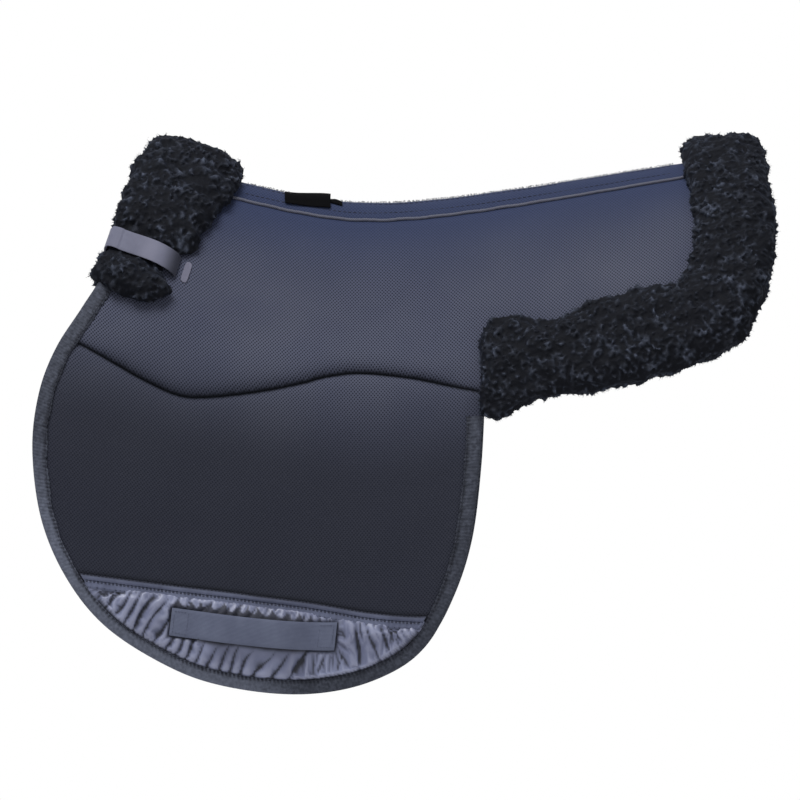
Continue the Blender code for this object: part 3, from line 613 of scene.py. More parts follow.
cloth = {
    "mesh": mesh_cloth("spacer_mesh"),
    "strip": mesh_cloth("spine_strip"),
    "felt": felt("seat_felt", (0.35, 0.35, 0.36)),
    "foam": felt("quilt_foam", (0.45, 0.45, 0.42)),
    "cotton": cotton(),
    "nylon": nylon("patch_nylon", (0.105, 0.118, 0.200), (0.190, 0.212, 0.330), 0.45, 0.30),
    "hem": nylon("hem_nylon", (0.085, 0.096, 0.155), (0.135, 0.152, 0.235), 0.25, 0.45),
    "webbing": webbing("webbing", (0.088, 0.101, 0.160), (0.128, 0.146, 0.215)),
    "strap": webbing("strap_webbing", (0.120, 0.125, 0.180), (0.165, 0.170, 0.235), tip_shade=True),
    "binding": tape(),
    "piping": braid("spine_piping", (0.045, 0.050, 0.078), (0.180, 0.185, 0.235), 0.0019),
    "thread": braid("seam_thread", (0.012, 0.013, 0.022), (0.040, 0.043, 0.065), 0.0012),
    "pale_thread": braid("spine_thread", (0.30, 0.31, 0.36), (0.62, 0.62, 0.60), 0.0012),
    "web_thread": braid("webbing_thread", (0.080, 0.090, 0.140), (0.120, 0.135, 0.200), 0.0012),
    "wool": wool(),
    "label": satin(),
    "hooks": hooks(),
}


# Making pieces
def smoothed(made, sharp=50):
    made.data.shade_smooth()
    made.data.set_sharp_from_angle(angle=math.radians(sharp))
    return made


def linked(name, data):
    """A new object in the scene, which has this data."""
    made = bpy.data.objects.new(name, data)
    bpy.context.scene.collection.objects.link(made)
    return made


def to_mesh(name, bm, surface):
    mesh = bpy.data.meshes.new(name)
    bm.to_mesh(mesh)
    bm.free()
    mesh.materials.append(surface)
    return mesh


def to_piece(name, bm, surface):
    return smoothed(linked(name, to_mesh(name, bm, surface)))


def final_mesh(made):
    """What an object's modifiers or its curve come to."""
    return bpy.data.meshes.new_from_object(made.evaluated_get(bpy.context.evaluated_depsgraph_get()))


def settled(made, sharp=50):
    """The piece with its modifiers applied."""
    made.data = final_mesh(made)
    made.modifiers.clear()
    return smoothed(made, sharp)


def modify(made, kind, **values):
    """Gives a piece a modifier."""
    set_all(made.modifiers.new(kind.lower(), kind), **values)


def set_points(verts, points):
    for vert, point in zip(verts, points):
        vert.co = point


def set_weave(bm, weave):
    """Each corner's place in the weave, which the shaders read."""
    layer = bm.loops.layers.uv.new("pattern")
    for face in bm.faces:
        for loop in face.loops:
            loop[layer].uv = weave[loop.vert.index]


def laid(bm, places, weave, depth, under):
    """Lays a flat grid over the left half as a closed cloth between two depths."""
    set_weave(bm, weave)
    top = drape_left(places, depth)
    base = drape_left(places, under)
    number = bm.verts.layers.int.new("number")
    # Each point carries the painted shade of the cover's groove and the hem's top, which the shaders read
    crease = bm.verts.layers.float.new("crease")
    for vert, shade_here in zip(bm.verts, groove_shade(places)):
        vert[crease] = shade_here
    for vert, point in zip(bm.verts, base):
        vert[number] = vert.index
        vert.co = point
    raised = bmesh.ops.extrude_face_region(bm, geom=bm.faces[:])["geom"]
    for part in raised:
        if isinstance(part, bmesh.types.BMVert):
            part.co = top[part[number]]
    bmesh.ops.recalc_face_normals(bm, faces=bm.faces)


def flat_grid(columns, rows):
    bm = bmesh.new()
    bmesh.ops.create_grid(bm, x_segments=columns, y_segments=rows, size=0.5)
    bm.verts.index_update()
    return bm, np.array([vert.co.xy for vert in bm.verts]) + 0.5


def laid_grid(name, columns, rows, place, thick, surface):
    """A strip of cloth laid by place(u, v) -> places, depth of its face, weave; u and v are 0 to 1."""
    bm, spots = flat_grid(columns, rows)
    places, depth, weave = place(*spots.T)
    laid(bm, places, weave, depth, depth - thick)
    return to_piece(name, bm, surface)


def laid_tape(name, columns, rows, place, thick, surface):
    """A tape whose section turns, laid by its outer face, with its wall inside."""
    bm, spots = flat_grid(columns, rows)
    places, depth, weave = place(*spots.T)
    set_weave(bm, weave)
    set_points(bm.verts, drape_left(places, depth))
    bm.normal_update()
    middle = sum((vert.co for vert in bm.verts), Vector()) / len(bm.verts)
    if sum((face.calc_center_median() - middle).dot(face.normal) for face in bm.faces) < 0:
        bmesh.ops.reverse_faces(bm, faces=bm.faces)
    made = to_piece(name, bm, surface)
    modify(made, "SOLIDIFY", thickness=thick, offset=-1.0)
    return settled(made)


def laid_cord(name, columns, sides, place, surface):
    """A closed cord laid by place(u, turn) -> places, depth."""
    bm, spots = flat_grid(columns, sides)
    set_points(bm.verts, drape_left(*place(spots[:, 0], spots[:, 1] * 2 * math.pi)))
    bmesh.ops.remove_doubles(bm, verts=bm.verts, dist=1e-6)
    bmesh.ops.holes_fill(bm, edges=[edge for edge in bm.edges if edge.is_boundary], sides=0)
    bmesh.ops.recalc_face_normals(bm, faces=bm.faces)
    return to_piece(name, bm, surface)


def inside(ring, places):
    odd = np.zeros(len(places), bool)
    for (x0, s0), (x1, s1) in zip(ring, np.roll(ring, -1, axis=0)):
        if s0 == s1:
            continue
        crosses = (s0 > places[:, 1]) != (s1 > places[:, 1])
        odd ^= crosses & (places[:, 0] < x0 + (places[:, 1] - s0) / (s1 - s0) * (x1 - x0))
    return odd


def rows_beside(line, ring, step, fine):
    """Distances of a grid's rows from a line: close together at the line, wider away from it."""
    offsets = ring[:, 1] - line.s_at(ring[:, 0])
    rows = [0.0]
    for end in (offsets.max(), offsets.min()):
        reach = 0.0
        while abs(reach) < abs(end) + step:
            reach += math.copysign(mix(fine, step, float(ease(abs(reach) / 0.025))), end)
            rows.append(reach)
    return np.array(sorted(rows))


def cut_out(ring, line, step, fine):
    """A flat grid cut to a ring of the pattern: its rows follow a line, its border is drawn to the ring."""
    rows = rows_beside(line, ring, step, fine)
    low, high = ring[:, 0].min(), ring[:, 0].max()
    bm, spots = flat_grid(math.ceil((high - low) / step), len(rows) - 1)
    x = mix(low, high, spots[:, 0])
    s = rows[np.round(spots[:, 1] * (len(rows) - 1)).astype(int)] + line.s_at(x)
    for vert, place in zip(bm.verts, zip(x, s)):
        vert.co.xy = place
    kept = inside(ring, pairs(x, s))
    bmesh.ops.delete(bm, geom=[vert for vert, keep in zip(bm.verts, kept) if not keep], context="VERTS")
    for _ in range(2):
        bmesh.ops.delete(bm, geom=[vert for vert in bm.verts if len(vert.link_faces) < 2], context="VERTS")
    border = [vert for vert in bm.verts if vert.is_boundary]
    _, nearest, _ = to_line(np.array([vert.co.xy for vert in border]), np.vstack([ring, ring[:1]]))
    for vert, place in zip(border, nearest):
        vert.co.xy = place
    bmesh.ops.dissolve_degenerate(bm, edges=bm.edges, dist=2e-5)
    bm.verts.index_update()
    return bm, np.array([vert.co.xy for vert in bm.verts])


def cut_cloth(name, ring, line, step, fine, depth, under, surface):
    """A cloth cut to a ring of the pattern and laid over the pad."""
    bm, places = cut_out(ring, line, step, fine)
    laid(bm, places, places, depth(places), under(places))
    return to_piece(name, bm, surface)


def flat_cut(name, ring, line, step, fine, surface):
    """A single flat layer of cloth, its outer face towards the viewer once it is laid."""
    bm, places = cut_out(ring, line, step, fine)
    set_weave(bm, places)
    bmesh.ops.reverse_faces(bm, faces=bm.faces)
    return to_piece(name, bm, surface), places


def drawn_lines(name, lines, thick, surface):
    """Threads along lines of points, as one mesh."""
    curve = bpy.data.curves.new(name, "CURVE")
    set_all(curve, dimensions="3D", bevel_depth=thick, bevel_resolution=0, use_fill_caps=True)
    for points in lines:
        spline = curve.splines.new("POLY")
        spline.points.add(len(points) - 1)
        spline.points.foreach_set("co", np.hstack([points, np.ones((len(points), 1))]).ravel())
    drawn = linked(name + "_line", curve)
    mesh = final_mesh(drawn)
    bpy.data.objects.remove(drawn)
    mesh.materials.clear()
    mesh.materials.append(surface)
    return smoothed(linked(name, mesh))


def stitches(places, depth, pitch=0.0036, thick=0.0004):
    """A row of stitches: a thread that runs over the cloth and dips into it once a stitch."""
    steps = np.linalg.norm(np.diff(places, axis=0), axis=1)
    travel = np.concatenate([[0.0], np.cumsum(steps)])
    count = int(travel[-1] / pitch)
    spots = (np.arange(count)[:, None] + np.array((0.0, 0.14, 0.56, 0.70))).ravel() * pitch
    lift = np.tile((-2.0, 0.6, 0.6, -2.0), count) * thick
    x, s, depth = (np.interp(spots, travel, values) for values in (*places.T, depth))
    return drape(x, -s, depth + lift)


def mark(mesh, name, kind, values):
    """Stores a value for each point of a mesh."""
    field = "vector" if kind == "FLOAT_VECTOR" else "value"
    layer = mesh.attributes.get(name) or mesh.attributes.new(name, kind, "POINT")
    layer.data.foreach_set(field, np.asarray(values, np.float32).ravel())


def mirrored(made, name):
    """The same piece on the right half."""
    mesh = made.data.copy()
    mesh.transform(Matrix.Diagonal((1.0, -1.0, 1.0, 1.0)))
    mesh.flip_normals()
    return linked(name, mesh)


def fit(made, nodes, body="half", cloth_facts=None, over_spine=None):
    """Hangs a left piece and its mirror image on their bodies, in place of the solids of those names."""
    stem = made.name.removeprefix("left_")
    for side_name, side in (("left", -1), ("right", 1)):
        piece = made if side < 0 else mirrored(made, "right_" + stem)
        if over_spine:
            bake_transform(piece)
        else:
            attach(piece, f"{side_name}_{body}")
        if nodes:
            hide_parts(*(node.replace("side_", side_name + "_") for node in nodes))
        if cloth_facts:
            facts = dict(cloth_facts)
            facts["rests_on"] = [on.replace("side_", side_name + "_") for on in facts.get("rests_on", ())]


def cut_facts(ring, held, *rests_on):
    """A sheet's facts: the size of the rectangle it was cut from, and its own area."""
    flat = tuple(float(v) for v in ring.max(0) - ring.min(0))
    return {"flat": flat, "held": held, "rests_on": rests_on, "area": ring_area(ring)}


# Cover, fillings and linings
def make_cover():
    ring = inset_outline(0.0)
    made = cut_cloth("left_cover", ring, quilt_seam, 0.0030, 0.0009, cover_depth,
                     lambda places: cover_depth(places) - 0.0014, cloth["mesh"])
    facts = cut_facts(ring, "draped", "side_felt", "side_foam")
    fit(made, ["side_outer_cover"], cloth_facts=facts)


def make_fillings():
    for name, node, inset, gap, surface, slot in (
        ("left_felt", "side_seat_felt", FELT_INSET, -0.014, "felt", "seat_felt"),
        ("left_foam", "side_flap_foam", EDGE_MARGIN, 0.004, "foam", "quilt_foam"),
    ):
        ring = part_of(inset_outline(inset), quilt_seam, gap, gap > 0)
        made = cut_cloth(name, ring, quilt_seam, 0.009, 0.004,
                         lambda places: cover_depth(places) - 0.0017,
                         lambda places: np.full(len(places), -FILLING_DEPTH), cloth[surface])
        fit(made, [node])


LINING_TOP = -FILLING_DEPTH - LAYER_GAP


def lining_depth(places):
    to_seam, _ = quilt_seam.nearest(places)
    slack = 0.0006 * ease(to_seam / 0.02) * (1 + unevenness(places, 0.06, 11))
    return LINING_TOP - LINING - slack


def make_lining():
    ring = part_of(inset_outline(LINING_INSET), quilt_seam, 0.004, True)
    made = cut_cloth("left_lining", ring, quilt_seam, 0.0050, 0.0020,
                     lambda places: np.full(len(places), LINING_TOP), lining_depth, cloth["cotton"])
    fit(made, ["side_flap_lining"], cloth_facts=cut_facts(ring, "draped", "side_foam"))


# Spine
STRIP_REACH = 0.0298


def make_strip():
    front, rear = flap_edge.at(0.0)[0] + 0.002, seat_edge.at(seat_edge.length)[0] - 0.002
    bm, spots = flat_grid(240, 14)
    u, v = spots.T
    x = mix(front, rear, u)
    places = pairs(x, v * STRIP_REACH)
    thin = ease((x - front) / 0.02) * ease((rear - x) / 0.02)
    depth = mix(CLOTH, STRIP, thin) + 0.00035 * unevenness(places, 0.05, 21) * thin
    depth -= 0.0006 * ease((v - 0.9) / 0.1)
    under = np.where(places[:, 1] < STRIP_HALF_WIDTH, 0.0, np.minimum(depth - 0.0006, 0.0029))
    laid(bm, places, places, depth, under)
    made = to_piece("left_strip", bm, cloth["strip"])
    facts = {"flat": (rear - front, STRIP_REACH), "held": "folded", "rests_on": ("side_cover",)}
    fit(made, ["spine_strip"], over_spine=STRIP_HALF_WIDTH, cloth_facts=facts)


def make_fringe():
    """Cut ends of the strip's weave, which stand up along the fold over the spine."""
    rng = np.random.default_rng(8)
    lines = []
    spots = np.array((0.0, 0.5, 1.0))
    rise = np.array((0.0, 0.42, 0.62))
    for x in np.arange(-0.125, 0.305, 0.0008):
        x = x + rng.normal(0, 0.0005)
        reach = rng.uniform(0.0016, 0.0036)
        start = rng.normal(-0.0012, 0.0011)
        lean = rng.normal(0, 0.0012)
        across = start + rng.normal(0, 0.0010) * spots
        lines.append(drape(x + lean * spots, across, STRIP - 0.0003 + reach * rise))
    made = drawn_lines("spine_fringe", lines, 0.00034, cloth["pale_thread"])
    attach(made, "spine")


def make_strip_stitching():
    x = np.arange(-0.128, 0.308, 0.002)
    rows = []
    for offset in (0.0085, 0.0215):
        rows.append(stitches(pairs(x, x * 0 + offset), x * 0 + STRIP + 0.0001, 0.0052, 0.0003))
    made = drawn_lines("left_strip_stitching", rows, 0.0003, cloth["thread"])
    fit(made, [], over_spine=STRIP_HALF_WIDTH)


def make_piping():
    s = PANEL_TOP + PIPING_INSET + 0.0015
    height = CLOTH + LOFT * (PIPING_INSET + 0.0015) / EDGE_MARGIN + 0.0013
    front = flap_edge.at(FLAP_START)[0] + 0.076
    rear = seat_edge.at(seat_edge.length - PANEL_TOP)[0] - 0.074

    def place(u, turn):
        x = mix(front, rear, u)
        around = pairs(x + 0.002 * np.cos(turn), 0.002 * np.sin(turn))
        radius = PIPING_RADIUS * 0.80 * (1 + 0.10 * unevenness(around, 0.006, 17))
        wander = 0.0005 * unevenness(pairs(x, x * 0), 0.030, 18)
        return pairs(x, s + wander + radius * np.cos(turn)), height + radius * np.sin(turn)

    made = laid_cord("left_piping", 520, 12, place, cloth["piping"])
    fit(made, ["side_spine_piping"])


def make_label():
    """The bare tab on the strip's left slope, and its tail."""

    def place(u, v):
        x = LABEL_START - 0.001 + (LABEL_LENGTH - 0.001) * u + 0.0010 * v
        s = LABEL_INSET - 0.001 - 0.004 * u + (LABEL_WIDTH + 0.0045) * v
        lift = 0.0050 * ease(u) * (1 - v) + 0.0008 * ease((v - 0.7) / 0.3) + 0.0004 * np.sin(u * 9.0) * v
        places = pairs(x, s)
        return places, STRIP + 0.0016 + lift, places

    made = laid_grid("spine_label_tab", 40, 14, place, 0.0009, cloth["label"])

    def tail_place(u, v):
        places = pairs(LABEL_START + LABEL_LENGTH - 0.003 + 0.014 * u, 0.0055 + 0.0060 * v + 0.0030 * u)
        return places, STRIP + 0.0013 + 0.0018 * np.sin(math.pi * u) * (1 - v * 0.5), places

    tail = laid_grid("spine_label_tail", 12, 6, tail_place, 0.0007, cloth["label"])
    for piece in (made, tail):
        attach(piece, "spine")
        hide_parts("spine_label")


# Binding, patch and girth loop
# Section of the binding round the rim, as (distance in from the edge, depth), from below to above
BINDING_SECTION = Route((
    (0.0122, -0.0019), (0.0060, -0.0020), (0.0004, -0.0017), (-0.0018, -0.0006), (-0.0024, 0.0012),
    (-0.0014, 0.0030), (0.0010, 0.0042), (0.0050, 0.0051), (0.0090, 0.0060), (0.0118, 0.0065),
    (0.0124, 0.0056),
))

# The nylon's folds: broad ones over the patch, fine gathers at its hem; and the pitch of the scallops of
# painted shade above the loop
FOLD_PITCH = 0.0125
FOLD_HEIGHT = 0.0066
GATHER_PITCH = 0.0070
GATHER_HEIGHT = 0.0030
SCALLOP_PITCH = 0.0120
NYLON = 0.0004
HEM_CLOTH = 0.0140

# The patch was cut so much wider than it lies, grows so much as it finds its folds, and is cloth like this
PATCH_EXTRA = 1.30
PATCH_GROWTH = 1.08
NYLON_FACTS = {
    "quality": 5, "mass": 0.02, "tension_stiffness": 30.0, "compression_stiffness": 30.0,
    "shear_stiffness": 5.0, "bending_stiffness": 0.002, "tension_damping": 0.4,
    "compression_damping": 0.4, "shear_damping": 0.4, "bending_damping": 0.02,
}


def make_binding():
    start, end = FRONT_ROLL_END - 0.012, flap_edge.length - 0.016

    def place(u, v):
        travel = mix(start, end, u)
        section = BINDING_SECTION.at(v * BINDING_SECTION.length)
        rim = pairs(travel, v * 0.03)
        pucker = 0.00065 * unevenness(rim, 0.0062, 31) * ease((section[:, 0] - 0.003) / 0.007)
        wave = 0.0006 * unevenness(rim, 0.035, 32)
        wave += 0.0008 * unevenness(rim, 0.0075, 33) * ease(section[:, 0] / 0.012)
        over = ease((section[:, 1] - 0.002) / 0.003)
        places = flap_edge.inset(travel, section[:, 0] + wave * over)
        return places, section[:, 1] + pucker * over, pairs(travel, v * BINDING_SECTION.length)

    made = laid_tape("left_binding", 620, 22, place, 0.0010, cloth["binding"])
    facts = {"flat": (end - start, BINDING_SECTION.length), "held": "folded", "rests_on": ("side_cover",)}
    fit(made, ["side_flap_binding"], cloth_facts=facts)
    travel = np.arange(start + 0.002, end, 0.003)
    rows = [stitches(flap_edge.inset(travel, 0.0104), np.full(len(travel), 0.0064), 0.0040, 0.00045)]
    fit(drawn_lines("left_binding_stitching", rows, 0.0004, cloth["thread"]), [])


def on_loop(t, across):
    """Places a distance along the girth loop and below its middle line."""
    return LOOP_START + t[:, None] * LOOP_FORWARD + across[:, None] * LOOP_DOWN


def beside_loop(places):
    """How far places lie beyond the ends of the girth loop, and below its middle line."""
    along, across = np.linalg.solve(pairs(LOOP_FORWARD, LOOP_DOWN), (places - LOOP_START).T)
    return np.abs(along - LOOP_LENGTH / 2) - LOOP_LENGTH / 2, across


def loop_flatness(places):
    """1 where the girth loop's two ends are sewn down, 0 away from them."""
    beyond, across = beside_loop(places)
    along = np.maximum(beyond, -LOOP_TAB - 0.006 - beyond)
    return 1 - ease(np.maximum(along, np.abs(across) - LOOP_WIDTH / 2) / 0.004)


def loop_shade(places, drop):
    """How dark the nylon is close to the loop's rim, and between the scallops above it."""
    beyond, across = beside_loop(places)
    outside = np.maximum(np.maximum(beyond, np.abs(across) - LOOP_WIDTH / 2), 0.0)
    rim = np.exp(-((outside / 0.0026) ** 2)) * np.where(across > -LOOP_WIDTH / 2, 0.95, 0.6)
    drift = 1.2 * unevenness(places, 0.05, 44)
    scallop = 0.0006 + 0.0066 * np.abs(np.sin(math.pi * places[:, 0] / SCALLOP_PITCH + drift))
    between = ease((drop - scallop) / 0.0012) * ease((0.004 - beyond) / 0.006)
    return np.maximum(rim, 0.9 * between * (across < 0.002 - LOOP_WIDTH / 2))


def patch_folds(places):
    """Height of the gathered nylon: fine gathers at the hem, broad folds with narrow creases below."""
    x, s = places[:, 0], places[:, 1]
    drop = s - hem_route.s_at(x) - HEM_WIDTH
    lean = mix(0.60, -0.30, ease((x + 0.12) / 0.16))
    drift = unevenness(places, 0.060, 41) * 0.35
    leaning = x + lean * drop
    broad = np.abs(np.sin(math.pi * (leaning / FOLD_PITCH + drift)))
    fine = np.abs(np.sin(math.pi * (leaning / GATHER_PITCH + drift * 2)))
    size = 0.62 + 0.38 * unevenness(pairs(leaning, s * 0.3), 0.045, 42)
    to_edge, _ = flap_edge.nearest(places)
    room = ease(drop / 0.008) * ease((to_edge - 0.011) / 0.005)
    height = FOLD_HEIGHT * size * broad**0.6 * room * (1 - 0.70 * loop_flatness(places))
    gathers = GATHER_HEIGHT * fine**0.6 * ease((drop + 0.001) / 0.003) * (1 - ease((drop - 0.006) / 0.012))
    _, across = beside_loop(places)
    gathers *= 1 - 0.6 * ease((across + 0.030) / 0.004) * (across < 0)
    return height + gathers + 0.0003 * unevenness(places, 0.010, 43) * room


def gathered(made, held, growth, resting, frames=20):
    """Lets a cloth that was cut wider than its place find its own folds over another piece."""
    group = made.vertex_groups.new(name="held")
    for index, weight in enumerate(held):
        group.add([index], float(weight), "REPLACE")
    resting.modifiers.new("stops", "COLLISION")
    set_all(resting.collision, thickness_outer=0.0005, cloth_friction=5.0)
    folding = made.modifiers.new("folding", "CLOTH")
    set_all(folding.settings, vertex_group_mass="held", shrink_min=1 - growth, **NYLON_FACTS)
    folding.settings.effector_weights.gravity = 0.0
    set_all(folding.collision_settings, distance_min=0.0006, collision_quality=1)
    scene = bpy.context.scene
    for moment in range(1, frames + 1):
        scene.frame_set(moment)
    settled(made, 180)
    scene.frame_set(1)


def averaged(mesh, values, times):
    """Values of a mesh's points, each replaced by the mean of its neighbours' a number of times."""
    edges = np.array([edge.vertices[:] for edge in mesh.edges])
    links = np.bincount(edges.ravel(), minlength=len(values))
    for _ in range(times):
        ends = np.concatenate([values[edges[:, 1]], values[edges[:, 0]]])
        values = np.bincount(edges.T.ravel(), ends, minlength=len(values)) / links
    return values


def make_patch():
    ring = part_of(inset_outline(PATCH_INSET), hem_route, 0.003, True)
    made, places = flat_cut("left_patch", ring, hem_route, 0.0016, 0.0016, cloth["nylon"])
    start = cover_depth(places) + 0.0012
    set_points(made.data.vertices, drape_left(places, start + 1.1 * patch_folds(places)))
    to_edge, _, _ = to_line(places, np.vstack([ring, ring[:1]]))
    drop = places[:, 1] - hem_route.s_at(places[:, 0]) - HEM_WIDTH
    held = np.maximum(np.maximum(to_edge < 0.0018, drop < -0.001), loop_flatness(places) > 0.6)
    resting = cut_cloth("resting", ring, hem_route, 0.0080, 0.0080, cover_depth,
                        lambda places: cover_depth(places) - 0.004, cloth["mesh"])
    gathered(made, held, PATCH_GROWTH, resting)
    bpy.data.objects.remove(resting)
    base = drape_left(places, start)
    out = unit(drape_left(places, start + 0.001) - base)
    found = np.array([vert.co for vert in made.data.vertices])
    height = ((found - base) * out).sum(1)
    most = mix(0.0080, 0.0050, loop_flatness(places)) * ease((to_edge + 0.002) / 0.006)
    kept = most * np.tanh(np.maximum(height, 0.0) / np.maximum(most, 1e-5))
    set_points(made.data.vertices, found + out * (kept - height)[:, None])
    # Painted shade in the hollows of the folds and about the loop, and painted highlight on their crests
    level = averaged(made.data, kept, 14)
    crease = np.maximum(ease((level - kept + 0.0001) / 0.0011), loop_shade(places, drop))
    mark(made.data, "crease", "FLOAT", crease)
    mark(made.data, "crest", "FLOAT", ease((kept - level - 0.0001) / 0.0012))
    modify(made, "SOLIDIFY", thickness=NYLON, offset=-1.0)
    modify(made, "SUBSURF", levels=1)
    settled(made, 180)
    facts = cut_facts(ring, "gathered", "side_cover")
    facts["flat"] = (facts["flat"][0] * PATCH_EXTRA, facts["flat"][1])
    facts["area"] *= PATCH_EXTRA
    fit(made, ["side_girth_patch"], cloth_facts=facts)


def make_hem():
    """The patch's doubled hem: a corded edge, a flat band and a small ruffle below it."""
    ring = inset_outline(HEM_INSET)
    rows = 16
    x = np.arange(-0.340, 0.112, 0.0005)
    spans = []
    for row in range(rows + 1):
        covered = x[inside(ring, pairs(x, hem_route.s_at(x) + HEM_CLOTH * row / rows))]
        spans.append((covered.min(), covered.max()))
    spans = np.array(spans)

    def place(u, v):
        x = mix(*spans[np.round(v * rows).astype(int)].T, u)
        drop = v * HEM_CLOTH
        places = pairs(x, hem_route.s_at(x) + drop)
        cord = 0.0018 * np.sqrt(np.clip(1 - ((drop - 0.0032) / 0.0024) ** 2, 0, 1))
        band = 0.0012 * ease((drop - 0.0062) / 0.001) * (1 - 0.6 * ease((drop - 0.0120) / 0.002))
        ruffle = 0.0009 * np.abs(np.sin(math.pi * x / 0.0052 + 1.5 * unevenness(places, 0.04, 51)))
        ruffle *= ease((drop - 0.0080) / 0.005)
        depth = cover_depth(places) + 0.0013 + cord + band + ruffle + 0.0002 * unevenness(places, 0.006, 52)
        return places, depth, places

    made = laid_grid("left_hem", 460, rows, place, 0.0009, cloth["hem"])
    facts = {"flat": (0.45, HEM_CLOTH * 1.1), "held": "folded", "rests_on": ("side_patch",)}
    fit(made, ["side_patch_hem"], cloth_facts=facts)
    lines = []
    for drop, lift in ((0.0004, 0.0017), (0.0058, 0.0016), (0.0072, 0.0024), (0.0124, 0.0024)):
        x = np.arange(-0.286, 0.068, 0.003)
        places = pairs(x, hem_route.s_at(x) + drop)
        places = places[inside(ring, places)]
        lines.append(stitches(places, cover_depth(places) + lift, 0.0038, 0.0004))
    fit(drawn_lines("left_hem_stitching", lines, 0.0004, cloth["thread"]), [])


def loop_height(t):
    """Depth of the loop's inner face: on the hem at its sewn ends, off the patch between them."""
    rest = CLOTH + LOFT + LAYER_GAP + 0.0010 + LAYER_GAP + 0.0012 + LAYER_GAP
    rise = LOOP_STANDOFF * ease((t - LOOP_TAB) / LOOP_RISE)
    return rest + rise * ease((LOOP_LENGTH - LOOP_TAB - t) / LOOP_RISE)


def make_loop():
    def place(u, v):
        t = LOOP_LENGTH * u
        across = (v - 0.5) * LOOP_WIDTH
        edge = 0.0006 * ease((np.abs(v - 0.5) - 0.42) / 0.08)
        bow = 0.0006 * np.sin(math.pi * u) * np.cos(math.pi * (v - 0.5))
        return on_loop(t, across), loop_height(t) + LOOP - edge + bow, pairs(t, across)

    made = laid_grid("left_loop", 120, 18, place, LOOP - 0.0003, cloth["webbing"])
    fit(made, ["side_girth_loop"])
    lines = []
    for start, end in ((0.003, 0.017), (LOOP_LENGTH - 0.017, LOOP_LENGTH - 0.003)):
        corners = np.array(((start, -0.011), (end, -0.011), (end, 0.011), (start, 0.011), (start, -0.011)))
        for one, two in zip(corners, corners[1:]):
            t, across = (one + np.linspace(0, 1, 12)[:, None] * (two - one)).T
            lines.append(stitches(on_loop(t, across), loop_height(t) + LOOP, 0.0032, 0.0004))
    fit(drawn_lines("left_loop_stitching", lines, 0.0003, cloth["web_thread"]), [])


# Straps
def roll_crest(width, crown):
    """The outside of a rolled edge as (distance in from the edge, depth) points, as in the solids."""
    foot = -FILLING_DEPTH - LAYER_GAP - PILE
    base = CLOTH + LOFT + ROLL_GAP
    crest = [(ROLL_INNER_LEG, foot)]
    for turn in ROLL_FOOT_TURNS:
        d = -ROLL_OVERHANG + (ROLL_INNER_LEG + ROLL_OVERHANG) * (1 - math.sin(turn))
        crest.append((d, base + (foot - base) * math.cos(turn)))
    half = (width + ROLL_OVERHANG) / 2
    for turn in ROLL_CREST_TURNS:
        crest.append((width - half + half * math.cos(turn), base + crown * math.sin(turn) ** ROLL_FULLNESS))
    return crest


def offset_section(line, distance):
    """A line of (d, h) points moved to its outer side."""
    moved = []
    for index, here in enumerate(line):
        before = np.array(line[max(0, index - 1)])
        after = np.array(line[min(len(line) - 1, index + 1)])
        step = (after - before) / np.linalg.norm(after - before)
        moved.append(np.array(here) + np.array((-step[1], step[0])) * distance)
    return moved


def make_strap():
    travel = flap_edge.travel_to(STRAP_HEIGHT)
    down = float(ease(travel / FRONT_ROLL_END))
    width = mix(FRONT_ROLL_TOP_WIDTH, FRONT_ROLL_FOOT_WIDTH, down) - WAIST_WIDTH_LOSS
    waist = [(d * (0.6 if d < 0 else 1.0), h) for d, h in roll_crest(width, FRONT_ROLL_CROWN * WAIST_CROWN)]
    hugging = offset_section(waist, STRAP_GAP)
    turn = 1 + len(ROLL_FOOT_TURNS)
    lying = CLOTH + LOFT + LAYER_GAP + TAPE + LAYER_GAP
    sewn = [np.array((0.004, hugging[0][1])), *hugging[1:turn], hugging[turn] - (0.0, 0.0021)]
    lifting = [hugging[turn] - (0.0, 0.0018), *hugging[turn:-1]]
    lifting = [point + (0.0055 * float(ease((point[0] - 0.02) / 0.03)), 0.0) for point in lifting]
    lifting += [np.array((STRAP_REACH, lying))]
    edge = flap_edge.at(travel)
    inward = flap_edge.inward(travel)
    tangent = np.array((-inward[1], inward[0]))

    def strap(name, line, columns, tip):
        """A stretch of the strap, with the strap's free end so many of its lengths along."""
        route = Route(offset_section(line, STRAP))

        def place(u, v):
            section = route.at(u * route.length)
            half = (v - 0.5) * STRAP_WIDTH
            sag = STRAP_SAG * (1 - ease(section[:, 0] / 0.045))
            places = edge + section[:, :1] * inward + (half + sag)[:, None] * tangent
            doubled = 0.0007 * ease((0.0028 - section[:, 0]) / 0.0012) * (section[:, 1] > CLOTH + LOFT)
            depth = section[:, 1] + doubled - 0.0005 * ease((np.abs(v - 0.5) - 0.44) / 0.06)
            return places, depth, pairs((u - tip) * route.length, half)

        return laid_tape(name, columns, 16, place, STRAP - 0.0002, cloth["strap"])

    fit(strap("left_strap_root_web", sewn, 24, 3.0), ["side_strap_root"])
    fit(strap("left_billet_web", lifting, 90, 1.0), ["side_billet_strap"], body="strap")

    def tape_place(u, v):
        half = (v - 0.5) * HOOKS_LENGTH
        round_end = np.sqrt(np.clip(1 - (np.abs(v - 0.5) / 0.5) ** 6, 0, 1))
        d = HOOKS_PLACE + (u - 0.5) * HOOKS_WIDTH * round_end
        places = edge + d[:, None] * inward + half[:, None] * tangent
        depth = CLOTH + LOFT + LAYER_GAP + TAPE - 0.0004 * (1 - round_end)
        return places, depth, pairs(d, half)

    made = laid_grid("left_hooks", 16, 30, tape_place, TAPE - 0.0001, cloth["hooks"])
    fit(made, ["side_hook_tape"])


